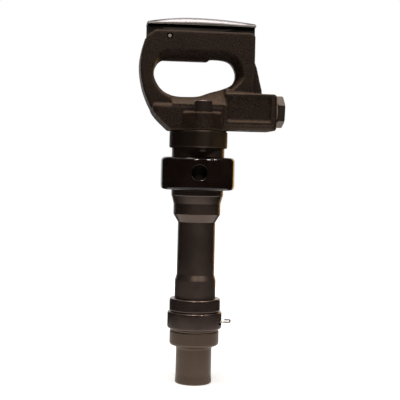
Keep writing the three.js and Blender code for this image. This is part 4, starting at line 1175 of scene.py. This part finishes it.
PANEL_DEPTH = 3.6 * MM


def even_copy(node):
    mesh = bmesh.new()
    mesh.from_mesh(nodes[node].data)
    bmesh.ops.remove_doubles(mesh, verts=mesh.verts, dist=NEAR)
    return solid_of(mesh, node + "_dressed")


def plugged(casting):
    """Fills the openings whose edges are machined, a hair inside the faces that they open in."""
    grip = GRIP_HALF - PLUG_HAIR
    inlet = (INLET_SHOULDER - PLUG_HAIR, hex_start - PLUG_BACK, at(INLET, "X"), HOLE_FACETS)
    throttle = (handle_low.z + PLUG_BACK, PLUG_SHOULDER + PLUG_HAIR, at(THROTTLE), HOLE_FACETS)
    plugs = [rod(PIN_HOLE + PLUG_HAIR, -grip, grip, at(LEVER_PIN, "Y"), SMALL_HOLE_FACETS)]
    plugs += [rod(INLET_BORE + PLUG_HAIR, *inlet), rod(PLUG_POCKET + PLUG_HAIR, *throttle)]
    return cut(casting, *plugs, keep="UNION")


def remade(casting, cell):
    modifier = casting.modifiers.new("cells", "REMESH")
    modifier.mode = "VOXEL"
    modifier.voxel_size = cell
    return made_plain(casting)


def bolt_pocket(side):
    """The cast pocket above the flange that gives the bolt's head its room."""
    low = Vector((AXIS.x - POCKET_HALF, POCKET_FACE, LOBE_TOP + POCKET_RISE))
    high = Vector((AXIS.x + POCKET_HALF, POCKET_FACE + POCKET_DEPTH, POCKET_TOP))
    mirror = Matrix.Scale(side, 4, (0, 1, 0))
    return block(low, high, POCKET_CORNER, 4, lambda run: abs(run.x) < MM, mirror)


def strip(rise, place, start, end):
    """What is cut away beside the plate: back by a step, then round to the block's side."""
    outline = [(-OVERRUN, 0)]
    for i in range(PLATE_ARC + 1):
        turn = i / PLATE_ARC * math.pi / 2
        back = PLATE_STEP + (PLATE_DEPTH - PLATE_STEP) * (1 - math.cos(turn))
        outline.append((back, rise * math.sin(turn)))
    outline += [(PLATE_DEPTH, rise + OVERRUN), (-OVERRUN, rise + OVERRUN)]
    return lofted("strip", [[place(back, out, along) for back, out in outline] for along in (start, end)])


def beside_plate():
    """The strips above, below and at the end of the raised plate, where the block's body stands back."""

    def above(back, out, along):
        return Vector((along, PLATE_FACE + back, PLATE_TOP + out))

    def below(back, out, along):
        return Vector((along, PLATE_FACE + back, PLATE_FOOT - out))

    def beyond(back, out, along):
        return Vector((PLATE_END + out, PLATE_FACE + back, along))

    return [
        strip(BLOCK_TOP - PLATE_TOP, above, PLATE_LEFT, BLOCK_END + OVERRUN),
        strip(PLATE_FOOT - BLOCK_FOOT, below, PLATE_LEFT, BLOCK_END + OVERRUN),
        strip(BLOCK_END - PLATE_END, beyond, BLOCK_FOOT - OVERRUN, BLOCK_TOP + OVERRUN),
    ]


def panel_recess():
    """The sunk field of the plate: its top wall slopes most, as the pattern had to lift out of the sand."""
    sunk = [edge + wall for edge, wall in zip(PANEL_MOUTH, PANEL_WALLS)]
    rings = []
    for (left, end, foot, top), back in ((PANEL_MOUTH, -OVERRUN), (PANEL_MOUTH, 0), (sunk, PANEL_DEPTH)):
        corners = ((left, foot), (end, foot), (end, top), (left, top))
        rings.append([Vector((x, PLATE_FACE + back, z)) for x, z in corners])
    return lofted("panel", rings)


def sill_height(across):
    """The height of the hand opening's lower edge at a distance from the barrel's axis."""
    return np.interp(across, [x for x, z in SILL_EDGE], [z for x, z in SILL_EDGE])


def sill_slope(side):
    """Fills the corner above the boss, so that the crossbar slopes from the opening down to its front."""
    face = BOSS_HALF - SILL_INSET
    rings = []
    for step in range(SILL_STEPS + 1):
        across = SILL_LEFT + (SILL_RIGHT - SILL_LEFT) * step / SILL_STEPS
        top = sill_height(across) - SILL_SINK
        profile = [(0, BOSS_TOP - MM), (face, BOSS_TOP - MM), (face, BOSS_TOP + SILL_SINK)]
        profile += [(SILL_FLAT + MM, top), (0, top)]
        rings.append([Vector((AXIS.x + across, side * y, z)) for y, z in profile])
    return lofted("sill", rings)


casting = plugged(even_copy("handle_casting"))
cut(casting, sill_slope(-1), sill_slope(1), keep="UNION")
cut(casting, bolt_pocket(1), bolt_pocket(-1), *beside_plate(), panel_recess())
handle = remade(casting, CELL)
print("casting skin:", len(handle.data.vertices), "points")


# %% [markdown]
# Smoothing moves every point towards the middle of its neighbours, in proportion to a weight. The weight
# is modest everywhere, and it stays on longer round the hand opening, where the pattern maker's generous
# fillets run into each other.

# %% Smoothing
SKIN_ROUNDS = 2
OPENING_ROUNDS = 12
EVEN = 0.5
OPENING_GAIN = 1.6
OPENING_LEFT = AXIS.x - 64 * MM
OPENING_RIGHT = AXIS.x + 49 * MM
OPENING_TOP = 441.6 * MM
OPENING_FOOT = 389.6 * MM
OPENING_BAND = 9 * MM
COVE_FOOT = 395.6 * MM
COVE_CORNER = 22 * MM
COVE_TOP = 12 * MM
COVE_SIDE = 9.5 * MM
COVE_FLAT = 5 * MM
COVE_REACH = 1.5 * COVE_TOP


def moved_to(obj, places):
    obj.data.vertices.foreach_set("co", places.ravel())
    obj.data.update()
    return obj


def smoothed(obj, weight, rounds):
    places, links = points_of(obj), neighbours(obj)
    for _ in range(rounds):
        for axis in range(3):
            value = places[:, axis]
            places[:, axis] = value + weight * (mean_around(value, *links) - value)
    return moved_to(obj, places)


def outside_box(places, low, high):
    """How far each point is from a box, nothing inside it."""
    beyond = np.maximum(np.maximum(np.array(low) - places, places - np.array(high)), 0)
    return np.linalg.norm(beyond, axis=1)


def no_thicker(places, where, most):
    """Draws the chosen points that stand out further than they may back towards the middle plane."""
    chosen = where & (np.abs(places[:, 1]) > most)
    places[chosen, 1] = (np.sign(places[:, 1]) * most)[chosen]
    return int(chosen.sum())


def coved(obj):
    """Leans the walls of the hand opening back along its top and right side, up to a clear edge."""
    places = points_of(obj)
    half_x, half_z = (OPENING_RIGHT - OPENING_LEFT) / 2, (OPENING_TOP - COVE_FOOT) / 2
    across = places[:, 0] - (OPENING_LEFT + OPENING_RIGHT) / 2
    upward = places[:, 2] - (OPENING_TOP + COVE_FOOT) / 2
    out_x = np.maximum(np.abs(across) - half_x + COVE_CORNER, 0)
    out_z = np.maximum(np.abs(upward) - half_z + COVE_CORNER, 0)
    outside = np.hypot(out_x, out_z)
    distance = outside - COVE_CORNER
    share_z = (out_z / np.maximum(outside, 10 * NEAR)) ** 2
    width = share_z * (upward > 0) * COVE_TOP + (1 - share_z) * (across > 0) * COVE_SIDE
    width *= np.clip((upward + half_z) / half_z, 0, 1)
    slope = np.clip(distance / np.maximum(width, 0.1 * MM), 0, 2)
    leaning = (outside > 0) & (distance < COVE_REACH) & (width > MM)
    count = no_thicker(places, leaning, COVE_FLAT + (GRIP_HALF - COVE_FLAT) * slope)
    from_axis = places[:, 0] - AXIS.x
    sill = sill_height(from_axis)
    fall = (sill - places[:, 2]) / (sill - BOSS_TOP)
    sloping = (from_axis > SILL_LEFT) & (from_axis < SILL_RIGHT) & (fall > 0) & (fall < 1)
    no_thicker(places, sloping, SILL_FLAT + (BOSS_HALF - SILL_FLAT) * fall)
    moved_to(obj, places)
    return count


smoothed(handle, EVEN, SKIN_ROUNDS)
opening = ((OPENING_LEFT, -1, OPENING_FOOT), (OPENING_RIGHT, 1, OPENING_TOP))
near_opening = np.clip(1 - outside_box(points_of(handle), *opening) / OPENING_BAND, 0, 1)
smoothed(handle, np.minimum(near_opening * OPENING_GAIN, 1) * EVEN, OPENING_ROUNDS)
print("cove:", coved(handle), "points")
smoothed(handle, EVEN, 1)


# %% [markdown]
# The sand's unevenness is two noises along the surface normal: a fine grain, and a slow swell that keeps
# the flat walls from looking milled. Where the mould's core met the pattern the skin is rougher, on the
# web behind the grip's right leg and along the floor of the hand opening. The roughness there is an
# attribute that the tree reads.

# %% Sand
SAND_SCALE = 420.0
SWELL_SCALE = 55.0
SAND_DEPTH = 0.16 * MM
SWELL_DEPTH = 0.3 * MM
COARSE_DEPTH = 0.9 * MM
WEB_START = AXIS.x + 73 * MM
WEB_FOOT = 0.395
WEB_HALF = 16 * MM
FLOOR_LINE = 0.3875
FLOOR_BAND = 5 * MM
FLOOR_COARSE = 1.6
WALL_FOOT = 0.45
OPENING_SHARE = 0.4


def sand_tree():
    depths = {"sand_depth": "Float", "swell_depth": "Float", "coarse_depth": "Float"}
    tree, given = new_tree("sand skin", casting="Geometry", **depths, finish="Material")
    place = put(tree, "GeometryNodeInputPosition").outputs[0]
    normal = put(tree, "GeometryNodeInputNormal").outputs[0]
    coarse = put(tree, "GeometryNodeInputNamedAttribute", {"Name": "coarse"}, data_type="FLOAT")
    coarse_depth = combined(tree, "MULTIPLY", given["Coarse depth"], coarse.outputs["Attribute"])
    sand_depth = combined(tree, "ADD", given["Sand depth"], coarse_depth)
    total = None
    for scale, depth in ((SAND_SCALE, sand_depth), (SWELL_SCALE, given["Swell depth"])):
        level = combined(tree, "SUBTRACT", grain(tree, scale, place, 2.0), 0.5)
        part = combined(tree, "MULTIPLY", level, depth)
        total = part if total is None else combined(tree, "ADD", total, part)
    offset = put(tree, "ShaderNodeVectorMath", {0: normal, "Scale": total}, operation="SCALE").outputs[0]
    moved = put(tree, "GeometryNodeSetPosition", {"Geometry": given["Casting"], "Offset": offset})
    return ended(tree, given, moved.outputs[0])


places = points_of(handle)
on_web = np.clip((places[:, 0] - WEB_START) / MM, 0, 1) * (np.abs(places[:, 1]) < WEB_HALF)
on_web *= places[:, 2] > WEB_FOOT
on_floor = np.clip(1 - np.abs(places[:, 2] - FLOOR_LINE) / FLOOR_BAND, 0, 1)
on_floor *= near_opening > OPENING_SHARE
noted(handle, "coarse", np.maximum(on_web, FLOOR_COARSE * on_floor))
sand_depths = {"sand_depth": SAND_DEPTH, "swell_depth": SWELL_DEPTH, "coarse_depth": COARSE_DEPTH}
grown(handle, sand_tree(), **sand_depths, finish=FINISHES["black_casting"])
mark_worn(handle, reach=2, gain=2.4)


# %% [markdown]
# Dust settles on what faces up below the grip, and the same light brown there also paints the light that
# falls from above. Along the top edge of the grip, where its side turns over, the colour paints a thin
# highlight, and under the block, on what faces down, it paints the reflection of the white floor.

# %% Dust and painted light
# Where the light brown goes: grime with painted top light, a painted highlight, and a painted floor
# reflection.
DUST_AND_TOP_LIGHT_RAMP = (0.12, 0.4)
TOP_HIGHLIGHT_BAND = (0.5, 0.18)
FLOOR_REFLECTION_RAMP = (0.3, 0.4)
FLOOR_REFLECTION_SHARE = 0.6
FLOOR_REFLECTION_TOP = 0.385


def ramp(value, start, run):
    return np.clip((value - start) / run, 0, 1)


facing_up = normals_of(handle)[:, 2]
skin_height = points_of(handle)[:, 2]
# Grime on what faces up below the grip, with painted light from above in the same colour.
dust_and_top_light = ramp(facing_up, *DUST_AND_TOP_LIGHT_RAMP) * (skin_height < WALL_FOOT)
# A painted highlight along the rounded top edge of the grip.
painted_top_highlight = np.exp(-((facing_up - TOP_HIGHLIGHT_BAND[0]) / TOP_HIGHLIGHT_BAND[1]) ** 2) * (skin_height > WALL_FOOT)
# A painted reflection of the white floor on what faces down under the block.
painted_floor_reflection = FLOOR_REFLECTION_SHARE * ramp(-facing_up, *FLOOR_REFLECTION_RAMP) * (skin_height < FLOOR_REFLECTION_TOP)
noted(handle, "dust", np.maximum(np.maximum(dust_and_top_light, painted_top_highlight), painted_floor_reflection))


# %% [markdown]
# The machined faces come last: the lever's channel, the pin's hole, the inlet's bore, the socket for the
# barrel, the throttle's stepped bore, and the bolts' holes with their spot faces.

# %% Machined faces of the handle
FULL = 0.2
SPOT_REACH = 20 * MM
SOCKET = [(34.3 * MM, handle_low.z - OVERRUN, 355.9 * MM), (17 * MM, 355 * MM, 376.6 * MM)]
THROTTLE_BORES = [
    (PLUG_POCKET, handle_low.z - OVERRUN, PLUG_SHOULDER),
    (13.3 * MM, PLUG_SHOULDER - MM, 381.1 * MM),
    (11.3 * MM, 380 * MM, 387.1 * MM),
    (9 * MM, 386 * MM, 401.3 * MM),
    (4.4 * MM, 400 * MM, CHANNEL_FLOOR + OVERRUN),
    (6.7 * MM, 450.5 * MM, 454.1 * MM),
]
channel = block((-FULL, -CHANNEL_HALF, CHANNEL_FLOOR), (FULL, CHANNEL_HALF, handle_high.z + OVERRUN))
cut(handle, channel, rod(PIN_HOLE, -FULL, FULL, at(LEVER_PIN, "Y")))
cut(handle, rod(INLET_BORE, INLET_SHOULDER, inlet_high.x, at(INLET, "X")))
for bore in SOCKET:
    cut(handle, rod(*bore, at(AXIS)))
for bore in THROTTLE_BORES:
    cut(handle, rod(*bore, at(THROTTLE), HOLE_FACETS))
for place in (FRONT_BOLT, REAR_BOLT):
    cut(handle, rod(BOLT_HOLE, handle_low.z - OVERRUN, LOBE_TOP + OVERRUN, at(place), HOLE_FACETS))
    cut(handle, rod(SPOT_FACE, SPOT_FLOOR, BOSS_TOP + SPOT_REACH, at(place)))
dressed(tidied(handle, sharp=50), "handle_casting")


# %% [markdown]
# ## The throttle lever
#
# The lever is a forging: a crown domed across and bowed along its length, over two skirts that hang in the
# handle's channel, with ears for the pivot pin. Its height along the length rises and falls as two
# parabolas that meet at the peak. Gloves keep the top of the crown bright. That brightness is stored as an
# attribute from the way each point faces, so it is painted top light as well as polishing, and painted
# shade dims it towards both ends.

# %% Throttle lever
LEVER_BOTTOM = 485.8 * MM
LEVER_PEAK_SHARE = 0.445
LEVER_CROWN = 12.2 * MM
LEVER_LEFT_CROWN = 5 * MM
LEVER_RIGHT_CROWN = 6.6 * MM
LEVER_DOME = 0.8
LEVER_EDGE = 0.9 * MM
LEVER_LIP = 0.45 * LEVER_EDGE
LEVER_END_STEPS = 4
LEVER_SECTIONS = 72
LEVER_ARC = 40
SKIRT_HALF = 14.7 * MM
SKIRT_WALL = 3.6 * MM
SKIRT_FOOT = 466.7 * MM
SKIRT_MARGIN = 0.8 * MM
SKIRT_SINK = 2 * MM
SKIRT_EDGE = 0.6 * MM
EAR_RADIUS = 7.9 * MM
PIN_BORE = 4.4 * MM
# How far the painted shade reaches from each end and how dark it gets there, and the facing-up ramp of
# polishing and painted top light.
LEFT_END_SHADE = (36 * MM, 0.25)
RIGHT_END_SHADE = (22 * MM, 0.45)
POLISH_AND_TOP_LIGHT_RAMP = (0.1, 0.45)

lever_low, lever_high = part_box("throttle_lever")


def crown_height(share):
    left = share < LEVER_PEAK_SHARE
    end = LEVER_LEFT_CROWN if left else LEVER_RIGHT_CROWN
    run = share / LEVER_PEAK_SHARE if left else (1 - share) / (1 - LEVER_PEAK_SHARE)
    return end + (LEVER_CROWN - end) * (1 - (1 - run) ** 2)


def crown_section(x, inset):
    """One section of the crown, its lower corners rounded, shrunk by an inset for the rounded ends."""
    share = min(max((x - lever_low.x) / (lever_high.x - lever_low.x), 0), 1)
    height = crown_height(share)
    half = (lever_high.y - lever_low.y) / 2
    outline = []
    for i in range(LEVER_ARC + 1):
        angle = i / LEVER_ARC * math.pi
        z = height * math.sin(angle) ** LEVER_DOME if 0 < i < LEVER_ARC else 0.0
        y = half * math.cos(angle)
        if z < LEVER_EDGE:
            z = max(z, LEVER_LIP)
        outline.append((y, z))
    outline += [(-half + LEVER_EDGE, 0.0), (half - LEVER_EDGE, 0.0)]
    middle_height = height / 2
    narrow = 1 - inset / half
    low = 1 - inset / middle_height
    centre = LEVER_BOTTOM + middle_height
    return [Vector((x, y * narrow, centre + (z - middle_height) * low)) for y, z in outline]


ends = rounded_edge(LEVER_EDGE, LEVER_END_STEPS)
stations = [(lever_low.x + run, inset) for inset, run in ends]
span = lever_high.x - lever_low.x - 2 * LEVER_EDGE
stations += [(lever_low.x + LEVER_EDGE + span * i / LEVER_SECTIONS, 0.0) for i in range(1, LEVER_SECTIONS)]
stations += [(lever_high.x - run, inset) for inset, run in ends[::-1]]
lever = lofted("lever_forged", [crown_section(x, inset) for x, inset in stations])
for side in (-1, 1):
    outer, inner = sorted((side * SKIRT_HALF, side * (SKIRT_HALF - SKIRT_WALL)))
    low = (lever_low.x, outer, SKIRT_FOOT)
    high = (lever_high.x - SKIRT_MARGIN, inner, LEVER_BOTTOM + SKIRT_SINK)
    cut(lever, block(low, high, SKIRT_EDGE), keep="UNION")
    cut(lever, rod(EAR_RADIUS, outer, inner, at(LEVER_PIN, "Y")), keep="UNION")
cut(lever, rod(PIN_BORE, -FULL, FULL, at(LEVER_PIN, "Y")))
mark_worn(tidied(lever, sharp=35), reach=1, gain=3.0)
along, _, height = points_of(lever).T
# Painted shade: the crown's brightness fades towards both ends.
painted_end_shade = 1
for from_end, (run, least) in ((along - lever_low.x, LEFT_END_SHADE), (lever_high.x - along, RIGHT_END_SHADE)):
    painted_end_shade = painted_end_shade * np.clip(from_end / run, least, 1)
crown = height > LEVER_BOTTOM + 0.5 * MM
# Polishing and painted top light, from how far each point faces up.
noted(lever, "polish_and_painted_light", ramp(normals_of(lever)[:, 2], *POLISH_AND_TOP_LIGHT_RAMP) * crown * painted_end_shade)
dressed(lever, "throttle_lever")


# %% [markdown]
# ## The lever's pin
#
# Only the two ends of the pin show, in the holes of the grip. They are turned to a slow taper, which
# catches the light in such a hole.

# %% Lever pin
PIN_SHOULDER = 2.3 * MM
PIN_TAPER = 6 * MM

pin_low, pin_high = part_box("lever_pivot_pin")
pin_radius = radius_of("lever_pivot_pin")
pin_profile = [
    (0, pin_low.y), (PIN_SHOULDER, pin_low.y), (pin_radius, pin_low.y + PIN_TAPER),
    (pin_radius, pin_high.y - PIN_TAPER), (PIN_SHOULDER, pin_high.y), (0, pin_high.y),
]
pin = spun(pin_profile, at(LEVER_PIN, "Y"), HOLE_FACETS)
pin.name = "lever_pin_turned"
dressed(mark_worn(tidied(pin)), "lever_pivot_pin", "pin_steel")


# %% [markdown]
# ## Pieces that stay as they came
#
# The valve gear, the piston and the gaskets are inside. Their CAD solids already have the right shape, and
# they only get their finishes.

# %% Finishes of the carried nodes
for part in frame["record"]["subparts"]:
    carried = nodes[part["node"]]
    carried.data.materials.clear()
    carried.data.materials.append(FINISHES[part["material_slot"]])
print("finishes set on", len(nodes), "nodes")


# %% [markdown]
# ## Floor, background and light
#
# The photograph is cut out on white. The floor is white for the camera but keeps a soft shadow, and the
# world is white for the camera, for reflections and through glass, while it lights the object only gently.

# %% Floor and world
FLOOR_HALF = 6.0
FLOOR_GLOW = 0.66
GLOW_FIELD = (0.15, 0.9)
AMBIENT = 0.12
WHITE = (1, 1, 1, 1)
FLOOR_WHITE = (0.82, 0.82, 0.82, 1)


def own_tree(owner):
    """The node tree of a material or a world, emptied."""
    owner.use_nodes = True
    owner.node_tree.nodes.clear()
    return owner.node_tree


def looked_at(tree):
    """One for the rays by which a camera sees, also in reflections and through glass, zero for others."""
    rays = put(tree, "ShaderNodeLightPath").outputs
    shown = combined(tree, "MAXIMUM", rays["Is Camera Ray"], rays["Is Glossy Ray"])
    return combined(tree, "MAXIMUM", shown, rays["Is Transmission Ray"])


floor_mesh = bmesh.new()
bmesh.ops.create_grid(floor_mesh, x_segments=1, y_segments=1, size=FLOOR_HALF)
floor = solid_of(floor_mesh, "floor")
floor_material = bpy.data.materials.new("floor_white")
tree = own_tree(floor_material)
diffuse = put(tree, "ShaderNodeBsdfDiffuse", {"Color": FLOOR_WHITE})
floor_place = put(tree, "ShaderNodeTexCoord").outputs["Object"]
away = put(tree, "ShaderNodeVectorMath", {0: floor_place}, operation="LENGTH").outputs["Value"]
fading = ranged(tree, away, *GLOW_FIELD, FLOOR_GLOW, 1.0)
glow_strength = combined(tree, "MULTIPLY", looked_at(tree), fading)
glow = put(tree, "ShaderNodeEmission", {"Color": WHITE, "Strength": glow_strength})
both = put(tree, "ShaderNodeAddShader", {0: diffuse.outputs[0], 1: glow.outputs[0]})
put(tree, "ShaderNodeOutputMaterial", {"Surface": both.outputs[0]})
floor.data.materials.append(floor_material)

world = bpy.data.worlds.new("studio")
bpy.context.scene.world = world
tree = own_tree(world)
strength = ranged(tree, looked_at(tree), 0, 1, AMBIENT, 1.0)
background = put(tree, "ShaderNodeBackground", {"Color": WHITE, "Strength": strength})
put(tree, "ShaderNodeOutputWorld", {"Surface": background.outputs[0]})
bpy.context.scene.view_settings.view_transform = "Standard"


# %% [markdown]
# A panel overhead gives the object its even light. Three small softboxes above the camera put the upright
# highlights on the turned pieces, and a warm card behind at the right gives the golden rim. Three lamps at
# the places of the softboxes light only the shiny rings, the deflector and the barrel, and only in
# reflection, which lifts their highlights and leaves the casting dark.

# %% Softboxes
AIM = (AXIS.x, 0, 0.26)
SMALL_BOX = (0.11, 0.11)
GLINT_BOX = (0.16, 0.16)
SOFTBOXES = {
    "top_panel": (-30, 0.22, 1.9, (0.9, 0.9), 20.0, (1.0, 0.965, 0.93)),
    "softbox_warm": (-4, 1.15, 1.25, SMALL_BOX, 3.0, (1.0, 0.9, 0.76)),
    "softbox_cool": (39, 1.15, 1.25, SMALL_BOX, 3.0, (0.92, 0.95, 1.0)),
    "softbox_side": (62, 1.15, 1.2, SMALL_BOX, 2.0, (1.0, 0.88, 0.72)),
    "warm_card": (150, 1.1, 0.3, (0.24, 0.8), 1.4, (1.0, 0.62, 0.22)),
}
GLINTS = {
    "glint_warm": (-4, 1.15, 1.25, GLINT_BOX, 9.0, (1.0, 0.88, 0.7)),
    "glint_cool": (39, 1.15, 1.25, GLINT_BOX, 9.0, (0.95, 0.97, 1.0)),
    "glint_side": (62, 1.15, 1.2, GLINT_BOX, 6.0, (1.0, 0.88, 0.7)),
}


def around_object(turn, distance, height):
    """A place seen from the object at an angle to the right of the camera, in degrees."""
    angle = math.radians(turn) - CAMERA_YAW
    return (AXIS.x + distance * math.sin(angle), -distance * math.cos(angle), height)


def softbox(name, turn, distance, height, size, power, colour):
    light = bpy.data.objects.new(name, bpy.data.lights.new(name, "AREA"))
    bpy.context.scene.collection.objects.link(light)
    light.data.shape = "RECTANGLE"
    light.data.size, light.data.size_y = size
    light.data.energy = power
    light.data.color = colour
    light.location = around_object(turn, distance, height)
    light.rotation_euler = (Vector(AIM) - Vector(light.location)).to_track_quat("-Z", "Y").to_euler()
    return light


for name, values in SOFTBOXES.items():
    softbox(name, *values)
shiny = bpy.data.collections.new("shiny rings")
for piece in (black_ring, collar, deflector, cylinder):
    shiny.objects.link(piece)
for name, values in GLINTS.items():
    glint = softbox(name, *values)
    glint.visible_diffuse = False
    glint.light_linking.receiver_collection = shiny


# %% [markdown]
# Shiny steel shows what stands round it. Photographers keep the upright faces of a black tool dark with
# black cloth: a curtain round the front, and a strip of it on the floor that begins a little way out, so
# that only what faces down still shows the white floor. No camera sees the cloth.

# %% Black cloth
CURTAIN_SPAN = (-144, 160)
CURTAIN_STEPS = 48
CURTAIN_RADIUS = 1.8
CURTAIN_HEIGHT = 1.9
CLOTH_START = 0.44
CLOTH_HEIGHT = 2 * MM
CLOTH_COLOUR = (0.022, 0.018, 0.016, 1)
ALL_ROUND = (-180, 180)


def cloth_strip(name, near, far, start, end):
    """A strip of cloth round the object between two (radius, height) pairs and two angles."""
    mesh = bmesh.new()
    posts = []
    for step in range(CURTAIN_STEPS + 1):
        turn = start + (end - start) * step / CURTAIN_STEPS
        ends = [around_object(turn, radius, height) for radius, height in (near, far)]
        posts.append([mesh.verts.new(place) for place in ends])
    for (low, high), (next_low, next_high) in zip(posts, posts[1:]):
        mesh.faces.new((low, next_low, next_high, high))
    made = solid_of(mesh, name)
    made.data.materials.append(CLOTH)
    made.visible_camera = False
    return made


CLOTH, _, cloth_shader = finish("black_cloth", 0.95, specular=0.1)
cloth_shader.inputs["Base Color"].default_value = CLOTH_COLOUR
foot, head = (CURTAIN_RADIUS, 0), (CURTAIN_RADIUS, CURTAIN_HEIGHT)
cloth_strip("dark_curtain", foot, head, *CURTAIN_SPAN)
near, far = (CLOTH_START, CLOTH_HEIGHT), (CURTAIN_RADIUS, CLOTH_HEIGHT)
floor_cloth = cloth_strip("dark_floor_cloth", near, far, *ALL_ROUND)
floor_cloth.visible_diffuse = False
floor_cloth.visible_shadow = False
floor_cloth.visible_transmission = False
